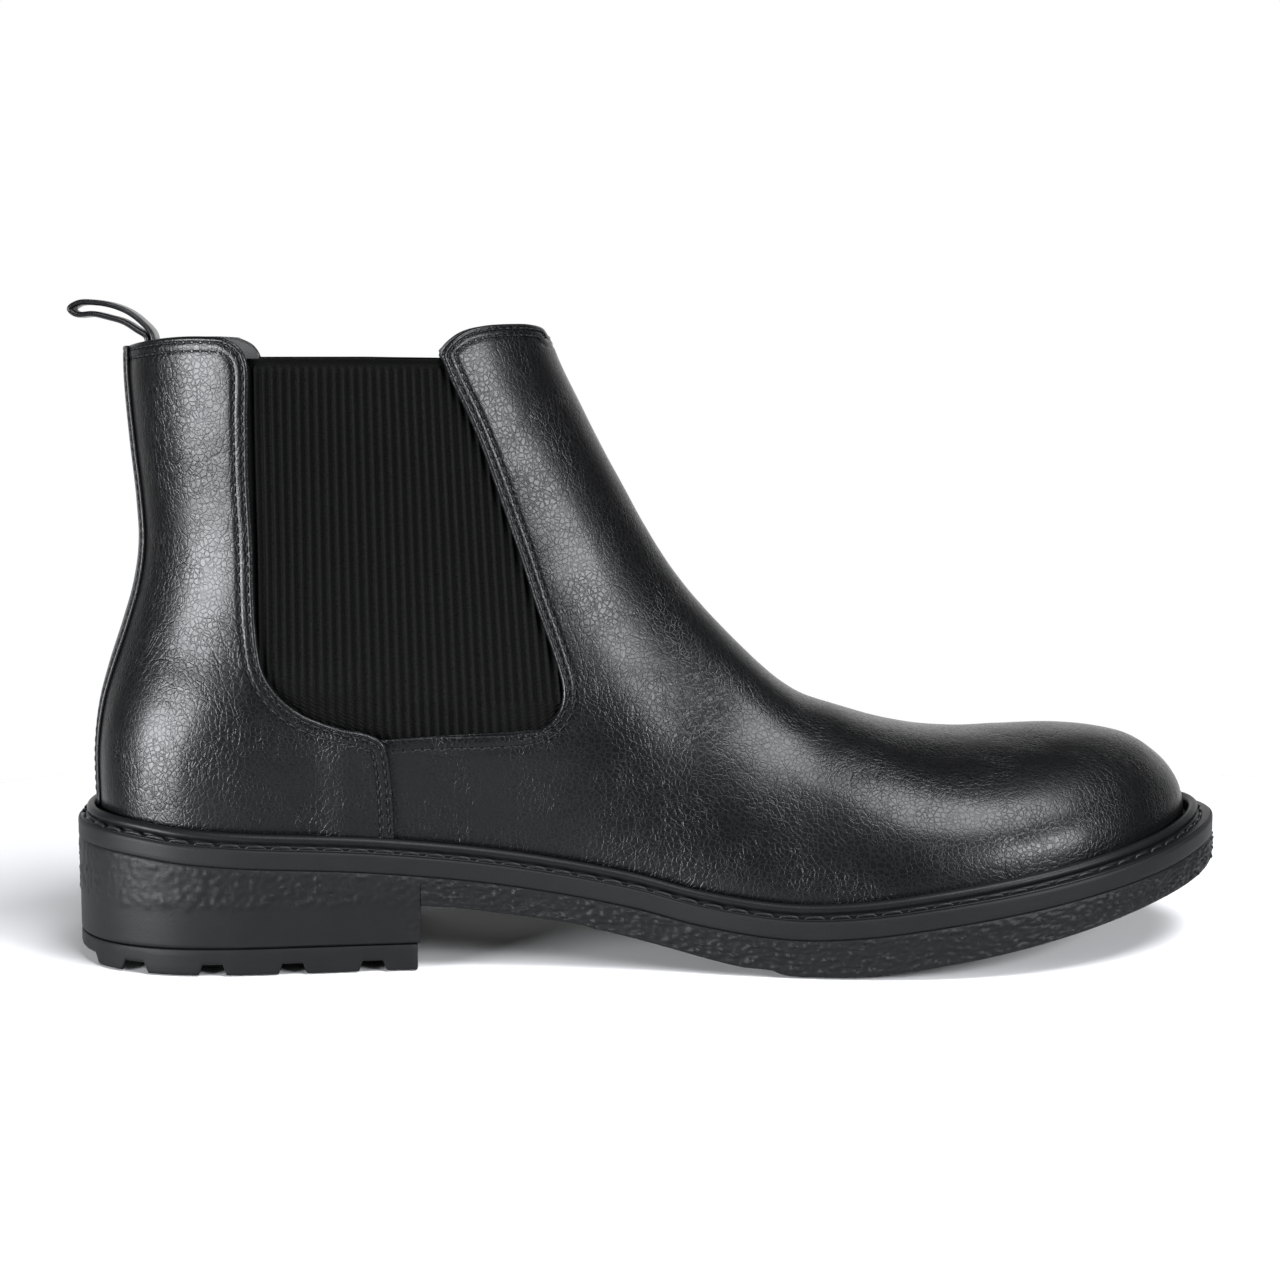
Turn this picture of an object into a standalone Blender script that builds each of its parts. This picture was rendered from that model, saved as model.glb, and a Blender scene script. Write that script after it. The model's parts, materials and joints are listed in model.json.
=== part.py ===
"""Chelsea boot for a right foot: leather upper, elastic side gores, rubber sole with a low heel.

Toe along +X, sole on the ground at Z = 0, outer (lateral) side along -Y, inner (medial) side along +Y.
The origin is on the heel's ground face. The curves below measure x from the back of the heel instead.
Sizes are millimetres. Curves are drawn for a boot 303 long, 112 wide and 158 high at the back, and
stretch with LENGTH, WIDTH and HEIGHT.
"""

import bpy
import numpy as np

# Overall sizes
LENGTH = 303.0  # sole, heel to toe
WIDTH = 112.0  # sole across the ball
HEIGHT = 158.0  # ground to the back of the topline

# Layers of the upper, from the outside in
LEATHER = 1.4
GAP = 0.3
STIFFENER = 1.6
LINING = 1.0
LINING_SLACK = 0.5
GORE = 1.2
GORE_GAP = 0.5
MARGIN = 6.0  # how far the gore runs on behind the leather round it
SEAM_LAP = 6.5  # how far the vamp runs on behind the quarter
LINING_TRIM = 8.0  # tab lining stops this far from the gore

# Sole
MARGIN_HEEL = 6.0  # sole beyond the upper
MARGIN_TOE = 7.8
BEAD = 3.9  # welt bead above the side wall's edge
WELT = 1.3
BAND = 4.3  # smooth band of the side wall
LIFT = 6.6
BREAST = 88.0  # heel breast from the back
FILLER = 1.6
BOARD = 2.2
INSOCK = 2.0
NOTCH_DEPTH = 2.6
NOTCH_WIDTH = 7.0
TREAD_DEPTH = 1.8

# Pull loop
LOOP_WIDTH = 14.0
LOOP_PLY = 1.1

ORIGIN_X = 46.0  # from the back of the heel to the origin

SX, SY, SZ = LENGTH / 303, WIDTH / 112, HEIGHT / 158

# Side view curves (x, z)
RIDGE = (
    (122.9, 159.4), (125.8, 152.0), (131, 141.3), (136.2, 131.1), (141.5, 121.1), (146.7, 111.4),
    (152, 102.6), (157.4, 95.1), (162.7, 88.7), (168, 82.9), (173.4, 77.4), (178.8, 72.3),
    (184.2, 67.9), (190, 64.4), (200, 61), (211, 57.7), (222, 55.5), (233, 54.6), (244, 54.7),
    (260, 55), (271, 54), (280, 51.7), (286, 48), (290.4, 43.8), (293.2, 39.4), (294.5, 35.4), (294.8, 30.6),
)
BACK = (
    (14.6, 156.6), (14.7, 148), (15.8, 132.4), (17.2, 117), (17.5, 106.6), (16, 96.2), (12.9, 85.8),
    (9.4, 75.4), (6.6, 65), (5.3, 54.5), (5.3, 44), (5.6, 33),
)
GORE_BACK = (
    (40.8, 158.6), (44.6, 156.6), (46.8, 152.8), (46.8, 138), (46.7, 123.7), (47.2, 108.6), (47.4, 93.4),
    (47.8, 85.7), (49.1, 76.8), (51.4, 72.1), (54.9, 68), (60, 64.4), (68.2, 61.4), (75, 60), (79, 57.8),
    (80.3, 54.5), (81, 49), (81.6, 40),
)
GORE_FRONT = (
    (94.7, 154), (97.6, 147), (101.4, 139.1), (104.7, 131.1), (107.4, 123.4), (114.2, 103.4),
    (118.2, 90.7), (121.9, 80.1), (124.4, 70.6), (123.6, 65.6), (120.6, 61.6), (116, 59.6),
)
WALL = (
    (-1, 35.4), (8, 35), (17, 34.2), (28, 32.8), (45, 31.4), (67, 30.2), (83, 28.9), (112, 25.5),
    (141, 20.6), (158, 16.6), (180, 13.9), (197, 14.6), (219, 17.6), (247, 21.9), (268, 25.4),
    (281, 27.6), (293, 29.9), (304, 31.6),
)
UNDER = (
    (88, 16.2), (97, 15.6), (108, 14.2), (119, 12.7), (127, 11.5), (134, 9.9), (142, 8.1), (152, 5.6),
    (160, 3.6), (168, 2), (175, 1.5), (178, 0.4), (186, 0.1), (195, 0.3), (203, 1), (211, 2.1),
    (223, 4), (236, 6.4), (248, 8.8), (258, 10.9), (275, 14.6), (290, 17.6), (304, 20.6),
)
# Plan of the upper where it meets the sole (x, y), round from the heel by the lateral side
PLAN = (
    (5.6, 0), (7.5, -12), (14, -22), (25, -28.6), (40, -31), (58, -30.6), (78, -29.4), (100, -29),
    (125, -31.4), (150, -36.6), (175, -43.4), (200, -48.2), (220, -49.6), (240, -47.6), (258, -41.6),
    (272, -33), (283, -22.4), (291, -10), (294.8, 3), (293, 15), (285, 27.5), (272, 37.6), (256, 44.4),
    (236, 48), (214, 48.4), (190, 44.6), (165, 37.4), (140, 30.6), (115, 27), (90, 27.4), (68, 29.6),
    (45, 31), (25, 28.6), (14, 22), (7.5, 12),
)
SHAFT = ((30, 31.2), (60, 31.4), (80, 30), (100, 29.4), (120, 30.2), (140, 31.6), (160, 32.6))


def spline(points, steps=16, closed=False):
    """A smooth curve through the points, as a dense polyline."""
    p = np.array(points, float)
    if closed:
        p = np.concatenate([p[-1:], p, p[:2]])
    else:
        p = np.concatenate([2 * p[:1] - p[1:2], p, 2 * p[-1:] - p[-2:-1]])
    t = np.concatenate([[0], np.cumsum(np.linalg.norm(np.diff(p, axis=0), axis=1) ** 0.5)])
    rows = []
    for i in range(1, len(p) - 2):
        u = np.linspace(t[i], t[i + 1], steps, endpoint=False)[:, None]
        a = [(p[k] * (t[k + 1] - u) + p[k + 1] * (u - t[k])) / (t[k + 1] - t[k]) for k in (i - 1, i, i + 1)]
        b = [(a[k] * (t[i + k + 1] - u) + a[k + 1] * (u - t[i + k - 1])) / (t[i + k + 1] - t[i + k - 1])
             for k in (0, 1)]
        rows.append((b[0] * (t[i + 1] - u) + b[1] * (u - t[i])) / (t[i + 1] - t[i]))
    return np.concatenate(rows + ([] if closed else [p[-2:-1]]))


def along(line, count=None, at=None):
    """Points spaced evenly along a polyline, or at the given fractions of its length."""
    s = np.concatenate([[0], np.cumsum(np.linalg.norm(np.diff(line, axis=0), axis=1))])
    at = np.linspace(0, 1, count) if at is None else np.asarray(at)
    return np.stack([np.interp(at * s[-1], s, line[:, k]) for k in range(line.shape[1])], -1)


def ease(x):
    x = np.clip(x, 0, 1)
    return x * x * (3 - 2 * x)


SCALE_XZ = np.array([SX, SZ])
RIDGE_LINE = spline(RIDGE) * SCALE_XZ
BACK_LINE = spline(BACK) * SCALE_XZ
WALL_LINE = spline(WALL) * SCALE_XZ
UNDER_LINE = spline(UNDER) * SCALE_XZ
PLAN_LINE = spline(PLAN, closed=True) * np.array([SX, SY])
RIDGE_ON = np.concatenate([[[118.6 * SX, 170.5 * SZ]], RIDGE_LINE])  # both run on past the topline
BACK_ON = np.concatenate([[[14.5 * SX, 172 * SZ]], BACK_LINE])
SHAFT_LINE = spline(SHAFT) * np.array([SZ, SY])
HEEL_X, TOE_X = PLAN_LINE[:, 0].min(), PLAN_LINE[:, 0].max()
TIP = PLAN_LINE[:, 0].argmax()
TOE_Y = PLAN_LINE[TIP, 1]


def wall_z(x):
    return np.interp(x, WALL_LINE[:, 0], WALL_LINE[:, 1])


def feather_z(x):
    """Lower edge of the upper, just above the midsole."""
    return wall_z(x) + 0.4


def under_z(x):
    return np.interp(x, UNDER_LINE[:, 0], UNDER_LINE[:, 1])


def ridge_z(x):
    return np.interp(x, RIDGE_LINE[:, 0], RIDGE_LINE[:, 1])


def back_x(z):
    return np.interp(-z, -BACK_LINE[:, 1], BACK_LINE[:, 0])


def front_x(z):
    """Where the ridge passes height z. Below the instep there is no such limit."""
    shin = RIDGE_ON[RIDGE_ON[:, 0] < 222 * SX]
    return np.where(z > shin[-1, 1], np.interp(-z, -shin[:, 1], shin[:, 0]), 1000)


def middle_y(x):
    return TOE_Y * ease((x / SX - 190) / 104)


def side_of(line, side):
    """One side of a closed plan as (x, distance from y = 0), heel to toe."""
    tip = line[:, 0].argmax()
    start = line[:, 0].argmin()
    line = np.roll(line, -start, axis=0)
    tip = line[:, 0].argmax()
    return line[: tip + 1] if side < 0 else np.concatenate([line[tip:], line[:1]])[::-1]


def half_plan(x, side):
    half = side_of(PLAN_LINE, side)
    return np.maximum(side * (np.interp(x, half[:, 0], half[:, 1]) - middle_y(x)), 0)


def distance(x, z, line):
    """Shortest distance from each point to the polyline."""
    a, d = line[:-1], np.diff(line, axis=0)
    p = np.stack([x, z], -1).reshape(-1, 1, 2)
    t = np.clip(((p - a) * d).sum(-1) / (d * d).sum(-1), 0, 1)
    return np.linalg.norm(p - a - t[..., None] * d, axis=-1).min(1).reshape(np.shape(x))


def dome(s, power=2.0):
    return np.sqrt(np.clip(1 - (1 - np.clip(s, 0, 1)) ** power, 0, 1))


def half_width(x, z, side):
    """Distance of the upper's outer face from its middle plane, at side-view place (x, z)."""
    foot = feather_z(x)
    shift = (back_x(z) - HEEL_X) * (1 - ease((x / SX - 30) / 80))
    top = np.where(x > RIDGE_LINE[0, 0], ridge_z(np.maximum(x, RIDGE_LINE[0, 0])), 400)
    q = np.clip((top - z) / np.maximum(top - foot, 1e-3), 0, 1)
    low = half_plan(np.maximum(x - shift, HEEL_X), side) * dome(q, 2.3)
    shaft = np.interp(z, SHAFT_LINE[:, 0], SHAFT_LINE[:, 1])
    high = shaft * dome(distance(x, z, BACK_ON) / (40 * SX)) * dome(distance(x, z, RIDGE_ON) / (47 * SX))
    high = np.where((x >= back_x(z)) & (x <= front_x(z)), high, 0)
    share = ease((z - foot - 4) / 46) * (1 - ease((x / SX - 150) / 60))
    return low * (1 - share) + high * share


def place(x, z, side):
    """Points of the outer face, in three dimensions."""
    return np.stack([x, middle_y(x) + side * half_width(x, z, side), z], -1)


def normals(grid):
    """Outward unit normals of the outer face at points that lie on it."""
    x, y, z = grid[..., 0], grid[..., 1] - middle_y(grid[..., 0]), grid[..., 2]
    side, h = np.where(y < 0, -1, 1), 0.2

    def square(x, z):
        return np.where(side < 0, half_width(x, z, -1), half_width(x, z, 1)) ** 2

    lean = (middle_y(x + h) - middle_y(x - h)) / (2 * h)
    n = np.stack([
        -(square(x + h, z) - square(x - h, z)) / (2 * h) - 2 * y * lean, 2 * y,
        -(square(x, z + h) - square(x, z - h)) / (2 * h),
    ], -1)
    n /= np.linalg.norm(n, axis=-1, keepdims=True) + 1e-9
    # walls stand upright where they meet the sole
    n[..., 2] *= ease((z - feather_z(x)) / 9)
    return n / (np.linalg.norm(n, axis=-1, keepdims=True) + 1e-9)


def inward(grid, depth):
    moved = grid - normals(grid) * np.asarray(depth)[..., None]
    moved[..., 2] = np.maximum(moved[..., 2], feather_z(moved[..., 0]))
    return moved


def material(name, colour, roughness, metallic=0.0):
    mat = bpy.data.materials.new(name)
    mat.use_nodes = True
    shader = mat.node_tree.nodes["Principled BSDF"]
    shader.inputs["Base Color"].default_value = (*colour, 1)
    shader.inputs["Roughness"].default_value = roughness
    shader.inputs["Metallic"].default_value = metallic
    return mat


def solid(name, points, faces, look, smooth=True, origin=(0, 0, 0)):
    """A closed mesh from millimetre points, its faces turned outward."""
    points = np.asarray(points, float).reshape(-1, 3)
    size = sum(np.dot(points[f[0]], np.cross(points[f[k]], points[f[k + 1]])) for f in faces
               for k in range(1, len(f) - 1))
    if size < 0:
        faces = [f[::-1] for f in faces]
    mesh = bpy.data.meshes.new(name)
    mesh.from_pydata(((points - np.array(origin)) / 1000).tolist(), [], [list(map(int, f)) for f in faces])
    mesh.materials.append(look)
    mesh.polygons.foreach_set("use_smooth", [smooth] * len(mesh.polygons))
    obj = bpy.data.objects.new(name, mesh)
    obj.location = (np.array(origin) - (ORIGIN_X * SX, 0, 0)) / 1000
    bpy.context.scene.collection.objects.link(obj)
    return obj


def shell(name, outer, inner, look, **more):
    """A sheet with thickness, between two grids of the same shape."""
    rows, cols = outer.shape[:2]
    n = rows * cols
    k = np.arange(n).reshape(rows, cols)
    cells = np.stack([k[:-1, :-1], k[:-1, 1:], k[1:, 1:], k[1:, :-1]], -1).reshape(-1, 4)
    faces = cells.tolist() + (cells[:, ::-1] + n).tolist()
    rim = np.concatenate([k[0, :-1], k[:-1, -1], k[-1, :0:-1], k[:0:-1, 0]])
    after = np.roll(rim, -1)
    faces += np.stack([after, rim, rim + n, after + n], -1).tolist()
    return solid(name, np.concatenate([outer.reshape(-1, 3), inner.reshape(-1, 3)]), faces, look, **more)


def layer(name, grid, start, thick, look, **more):
    """A sheet lying the given depth inside the outer face."""
    return shell(name, inward(grid, start), inward(grid, start + thick), look, **more)


def ring(name, loops, look):
    """A closed hoop from its lengthwise loops, taken in order round the section."""
    grid = np.stack(loops, 1)
    rows, cols = grid.shape[:2]
    k = np.arange(rows * cols).reshape(rows, cols)
    down, right = np.roll(k, -1, axis=0), np.roll(k, -1, axis=1)
    both = np.roll(down, -1, axis=1)
    return solid(name, grid, np.stack([k, right, both, down], -1).reshape(-1, 4).tolist(), look)


def plan_offset(amount):
    """The upper's plan grown outward by an amount for each of its points."""
    d = np.roll(PLAN_LINE, -1, axis=0) - np.roll(PLAN_LINE, 1, axis=0)
    n = np.stack([d[:, 1], -d[:, 0]], -1) / np.linalg.norm(d, axis=1)[:, None]
    if (n * (PLAN_LINE - PLAN_LINE.mean(0))).sum() < 0:
        n = -n
    return PLAN_LINE + n * (np.zeros(len(PLAN_LINE)) + amount)[:, None]


def sole_margin(x):
    return MARGIN_HEEL + (MARGIN_TOE - MARGIN_HEEL) * ease((x / SX - 150) / 140)


def slab(name, plan, low, high, look, start=None, end=None, count=44, extra=()):
    """A plate with the given plan. low and high give its two faces' heights from x."""
    x0, x1 = plan[:, 0].min() + 0.12, plan[:, 0].max() - 0.12
    x0, x1 = max(x0, start or x0), min(x1, end or x1)
    x = x0 + (x1 - x0) * (1 - np.cos(np.linspace(0, np.pi, count))) / 2
    kept = np.array([e for e in extra if x0 < e < x1])
    if len(kept):
        clear = np.abs(x[:, None] - kept).min(1) > 0.8
        clear[[0, -1]] = True
        x = np.unique(np.concatenate([x[clear], kept]))
    sides = [side_of(plan, s) for s in (-1, 1)]
    y = [np.interp(x, s[:, 0], s[:, 1]) for s in sides]
    rows = np.stack([
        np.stack([x, y[0], low(x)], -1), np.stack([x, y[1], low(x)], -1),
        np.stack([x, y[1], high(x)], -1), np.stack([x, y[0], high(x)], -1),
    ], 1)
    n = len(x)
    k = np.arange(n * 4).reshape(n, 4)
    nxt = np.roll(k, -1, axis=1)
    faces = np.stack([k[:-1], nxt[:-1], nxt[1:], k[1:]], -1).reshape(-1, 4).tolist()
    faces += [k[0, ::-1].tolist(), k[-1].tolist()]
    return solid(name, rows, faces, look, smooth=False)


# The vamp: lines run from the ridge down to the edge of the piece on each side

HINGE_X = 162.7  # instep crease, where the front tab starts to move
PAIRS = (  # x on the ridge, (x, z) on the edge, rows up to the next pair
    (122.9, (94.7, 154.0), 2), (128.4, (97.9, 146.2), 2), (136.4, (103.3, 134.5), 2),
    (145, (110, 115.8), 2), (153, (116.4, 96.4), 2), (159, (121.7, 80.7), 1),
    (HINGE_X, (124.4, 70.6), 2), (171.5, (121.9, 62.7), 1), (178, (116, 59.6), 2),
    (190, (97, 58.6), 1),
)
WING_PAIRS = ((200, 57.8, 2), (205, 43.5, 1))  # x on the ridge, height on the seam edge, rows
FOOT_PAIRS = (  # x on the ridge, x along the feather line, rows
    (212, None, 2), (219, 104, 2), (228, 136, 2), (237, 166, 2), (247, 194, 2), (257, 216, 2),
    (266.5, 236, 2), (275, 254, 2), (283, 269, 2), (289.6, 280, 3), (294.8, 288.5, 1),
)
HINGE_ROW = sum(p[2] for p in PAIRS[:6])
HINGE_EDGE_Z = 70.6
SIDE_SEAM_X = 81.8


def vamp_lines(seam_x):
    """Ridge point and edge point of each line of the vamp. seam_x is where its wings end."""
    side_x = max(seam_x, (SIDE_SEAM_X + 0.9) * SX)
    lines = [(x * SX, (e[0] * SX, e[1] * SZ), n) for x, e, n in PAIRS]
    lines += [(x * SX, (seam_x, z * SZ), n) for x, z, n in WING_PAIRS]
    lines += [(208.5 * SX, (side_x, 39.5 * SZ), 1)]
    for x, foot, n in FOOT_PAIRS:
        foot = side_x if foot is None else foot * SX
        lines.append((x * SX, (foot, feather_z(foot)), n))
    ridge, edge, count = zip(*lines)
    step = np.concatenate([[0], np.cumsum(count[:-1])])
    at = np.arange(step[-1] + 1)
    rx = np.interp(at, step, ridge)
    rx[-1] = TOE_X
    rz = ridge_z(rx)
    rz[-1] = feather_z(TOE_X)
    edge = np.array(edge)
    e = np.stack([np.interp(at, step, edge[:, k]) for k in (0, 1)], -1)
    on_foot = at >= step[len(PAIRS) + len(WING_PAIRS) + 1]
    e[:, 1] = np.where(on_foot, feather_z(e[:, 0]), e[:, 1])
    return np.stack([rx, rz], -1), e


def vamp_grid(seam_x, cols=9, first=0, last=None, trim=0.0, top=0.0):
    """Outer face over the vamp's lines first to last, across from the lateral to the medial edge."""
    ridge, edge = vamp_lines(seam_x)
    last = len(ridge) if last is None else last
    ridge, edge = ridge[first:last], edge[first:last]
    length = np.linalg.norm(edge - ridge, axis=1)
    reach = 1 - trim / length
    v = np.append(np.linspace(0, 1, cols + 1), 1 - np.array([0.35, 0.68]) / cols)
    v.sort()
    s = (1 - np.cos(v * np.pi / 2))[None, :] * reach[:, None]
    pts = ridge[:, None] * (1 - s[..., None]) + edge[:, None] * s[..., None]
    row = np.arange(first, last)[:, None]
    arch = 4.4 * SZ * (1 - (2 * s - 1) ** 4) * (1 - ease(row / 5))
    x, z = pts[..., 0], pts[..., 1] + arch - top * (row == 0)
    sides = [place(x, z, side) for side in (-1, 1)]
    sides[0][:, 0] = sides[1][:, 0] = np.stack([x[:, 0], middle_y(x[:, 0]), z[:, 0]], -1)
    return np.concatenate([sides[0][:, ::-1], sides[1][:, 1:]], 1)


# The quarters: lines run forward from the back seam to the gore and the side seam

def quarter_lines(rows):
    """Back seam point and front edge point of each line of a quarter, from the topline down."""
    foot = SIDE_SEAM_X * SX
    edge = np.concatenate([spline(GORE_BACK) * SCALE_XZ, [[foot, feather_z(foot)]]])
    at = np.linspace(0, 1, rows)
    edge = along(edge, at=at)
    z = np.interp(at, [0, 0.06, 0.6, 1], [BACK_LINE[0, 1], BACK_LINE[0, 1] - 5, 76 * SZ, feather_z(HEEL_X)])
    back = np.stack([back_x(z), z], -1)
    return back, edge


def quarter_grid(side, rows=22, cols=9, strip=(4.0, 8.0), top=0.0):
    """Outer face of one quarter. The first columns keep the given distances from the back seam."""
    back, edge = quarter_lines(rows)
    fine = np.linspace(0, 1, 400) ** 2
    row = np.linspace(0, 1, rows)
    out = []
    for i in range(rows):
        x = back[i, 0] + (edge[i, 0] - back[i, 0]) * fine
        z = back[i, 1] + (edge[i, 1] - back[i, 1]) * fine
        foot = feather_z(x)
        z = z + (foot - z) * ease((row[i] - 0.8) / 0.2) ** 2
        if i == 0:
            z = z + 4.4 * SZ * fine * (1 - fine) - top
        w = half_width(x, z, side)
        near = np.interp(strip, np.maximum.accumulate(w[:200]), fine[:200])
        rest = near[-1] + (1 - near[-1]) * np.linspace(0, 1, cols + 1)[1:] ** 1.15
        t = np.concatenate([[0], near, rest])
        px, pz = np.interp(t, fine, x), np.interp(t, fine, z)
        p = place(px, pz, side)
        p[0, 1] = 0
        out.append(p)
    return np.array(out)


def split_seam(grid, side, gap=0.2):
    """The grid with its back seam edge moved off the middle plane."""
    grid = grid.copy()
    grid[:, 0, 1] = side * gap
    return grid


def seam_rise(grid):
    """How far the quarter stands out where it lies over the vamp's wing, low down in front."""
    x, z = grid[..., 0] / SX, grid[..., 2] / SZ
    low = ease((grid[..., 2] - feather_z(grid[..., 0]) - BEAD - 0.8) / 4)
    return (LEATHER + GORE_GAP) * ease((x - 60) / 11) * (1 - ease((z - 58.5) / 6)) * low


def both_sides(make):
    """A grid that runs from the lateral front edge round the back to the medial front edge."""
    return np.concatenate([make(-1)[:, ::-1], make(1)[:, 1:]], 1)


def gore_grid(side, rows=15, cols=8):
    """Outer face over one gore, with its hidden margins."""
    z = np.linspace(153.4, 53.2, rows)
    front = spline(GORE_FRONT)
    rear = spline(GORE_BACK)
    open_rear = rear[rear[:, 1] < 154]
    open_front = front[front[:, 1] > HINGE_EDGE_Z]
    x0 = np.interp(-z, -open_rear[:, 1], open_rear[:, 0]) - MARGIN
    x0 = np.where(z > 66, x0, np.maximum(x0, np.interp(z, [53, 60], [68, 60])))  # clear of the wing's end
    x1 = np.interp(-z, -open_front[:, 1], open_front[:, 0]) + MARGIN
    x1 = np.minimum(x1, np.interp(z, [53, 68], [116, 131]))
    s = np.linspace(0, 1, cols + 1)
    x = (x0[:, None] * (1 - s) + x1[:, None] * s) * SX
    return place(x, np.repeat(z[:, None], cols + 1, 1) * SZ, side)


def build_upper():
    leather = material("black_leather", (0.028, 0.028, 0.031), 0.38)
    trim = material("black_trim_leather", (0.022, 0.022, 0.025), 0.42)
    elastic = material("black_elastic", (0.018, 0.018, 0.019), 0.85)
    textile = material("lining_textile", (0.05, 0.05, 0.052), 0.9)
    board = material("stiffener_board", (0.35, 0.31, 0.26), 0.8)
    seam_x = (SIDE_SEAM_X - SEAM_LAP) * SX
    deep = LEATHER + GAP
    lining = deep + STIFFENER + GAP + LINING_SLACK

    grid = vamp_grid(seam_x)
    lower = grid[HINGE_ROW:]
    hinge = grid[HINGE_ROW, grid.shape[1] // 2]
    upper_rows = grid[: HINGE_ROW + 1].copy()
    upper_rows[-1] = upper_rows[-1] * 0.9 + upper_rows[-2] * 0.1
    layer("vamp", lower, 0, LEATHER, leather)
    layer("vamp_tab", upper_rows, 0, LEATHER, leather, origin=hinge)

    inner = vamp_grid(83.4 * SX, cols=7, first=HINGE_ROW)
    layer("vamp_lining", inner, lining + 0.4, LINING, textile)
    tab = vamp_grid(seam_x, cols=6, last=HINGE_ROW + 1, trim=LINING_TRIM, top=1.5)
    tab[-1] = tab[-1] * 0.9 + tab[-2] * 0.1
    layer("vamp_tab_lining", tab, lining, LINING, textile, origin=hinge)
    toe = grid[-11:]
    layer("toe_puff", toe, deep, STIFFENER, board)

    for side, word in ((-1, "lateral"), (1, "medial")):
        face = quarter_grid(side)
        rise = seam_rise(face)
        outer = split_seam(face + normals(face) * rise[..., None], side)
        shell("quarter_" + word, outer, split_seam(inward(face, LEATHER - rise), side), leather)
        layer("gore_" + word, gore_grid(side), LEATHER + GORE_GAP, GORE, elastic)

    wide = both_sides(lambda side: quarter_grid(side, rows=16, cols=6, strip=(5.0, 11.0, 17.0), top=1.5))
    layer("quarter_lining", wide, lining, LINING, textile)
    counter = both_sides(lambda side: quarter_grid(side)[12:, :8])
    layer("heel_counter", counter, deep, STIFFENER, board)
    strip = both_sides(lambda side: quarter_grid(side)[:-2, :3])
    layer("back_strip", strip, -GAP - 1.2, 1.2, trim)
    return hinge


def build_pull_loop():
    """A strap folded in two. Its ends are stitched inside the back of the topline."""
    strap = material("pull_loop_leather", (0.02, 0.02, 0.023), 0.25)
    x0, z0 = 20.95 * SX, 156.4 * SZ
    path = np.array([
        (0.68, 0), (0.55, 3), (-1.9, 6.0), (-5.2, 8.6), (-9.2, 10.3), (-13.6, 11.1), (-17.8, 11.0), (-20, 9.5),
        (-18.4, 8.1), (-14.2, 8.2), (-10.2, 7.3), (-6.6, 6.2), (-3.4, 4.2), (-0.9, 2.4), (-0.72, 0),
    ])
    line = along(spline(path), 34)
    d = np.gradient(line, axis=0)
    n = np.stack([-d[:, 1], d[:, 0]], -1) / np.linalg.norm(d, axis=1)[:, None]
    rows = []
    for half in (-0.5, 0.5):
        edge = line + n * LOOP_PLY * half
        rows.append([[(x0 + x, y, z0 + z) for y in (-LOOP_WIDTH / 2, 0, LOOP_WIDTH / 2)] for x, z in edge])
    shell("pull_loop", np.array(rows[0]), np.array(rows[1]), strap, origin=(x0, 0, z0))
    z = np.linspace(z0 - 1.6, z0 - 15, 6)[:, None]
    y = np.linspace(-0.5, 0.5, 5)[None] * LOOP_WIDTH
    bend = 20 * (y / 31) ** 2  # the strap follows the round back of the lining
    depth = LEATHER + STIFFENER + LINING + LINING_SLACK + 5 * GAP
    plies = (0, 2 * LOOP_PLY + 0.2)
    face = [np.stack([back_x(z) + bend + depth + d, y + z * 0, z + y * 0], -1) for d in plies]
    shell("pull_loop_anchor", face[0], face[1], strap)


def build_welt():
    rubber = material("welt_rubber", (0.035, 0.036, 0.038), 0.5)
    thread = material("welt_thread", (0.06, 0.06, 0.06), 0.6)
    margin = sole_margin(PLAN_LINE[:, 0])

    def loop(out, up, from_edge=False):
        line = plan_offset(margin + out if from_edge else out)
        line = along(np.concatenate([line, line[:1]]), 93)[:-1]
        return np.column_stack([line, wall_z(line[:, 0]) + up])

    ring("welt", [
        loop(-0.4, 0.3, True), loop(-0.4, 0.3 + WELT, True), loop(-1.3, 0.5 + WELT, True),
        loop(4.0, 0.6), loop(3.6, 2.6), loop(2.4, BEAD), loop(1.3, BEAD - 0.4), loop(1.1, 0.3),
    ], rubber)
    middle = plan_offset((margin + 2.6) / 2)
    middle = along(np.concatenate([middle, middle[:1]]), 93)[:-1]
    across = []
    d = np.roll(middle, -1, axis=0) - np.roll(middle, 1, axis=0)
    n = np.stack([d[:, 1], -d[:, 0]], -1) / np.linalg.norm(d, axis=1)[:, None]
    rest = wall_z(middle[:, 0]) + 2.15
    for a in np.arange(4) * np.pi / 2:
        flat = middle + n * 0.4 * np.cos(a)
        across.append(np.column_stack([flat, rest + 0.4 * np.sin(a) + 0.3]))
    ring("welt_thread", across, thread)


def inside(extra):
    """The plan inside the lining, drawn in by a further distance and by more at the toe."""
    wall = LEATHER + GAP + STIFFENER + GAP + LINING_SLACK + LINING + 1.2
    return plan_offset(-(wall + extra + 3.6 * ease((PLAN_LINE[:, 0] / SX - 245) / 40)))


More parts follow.
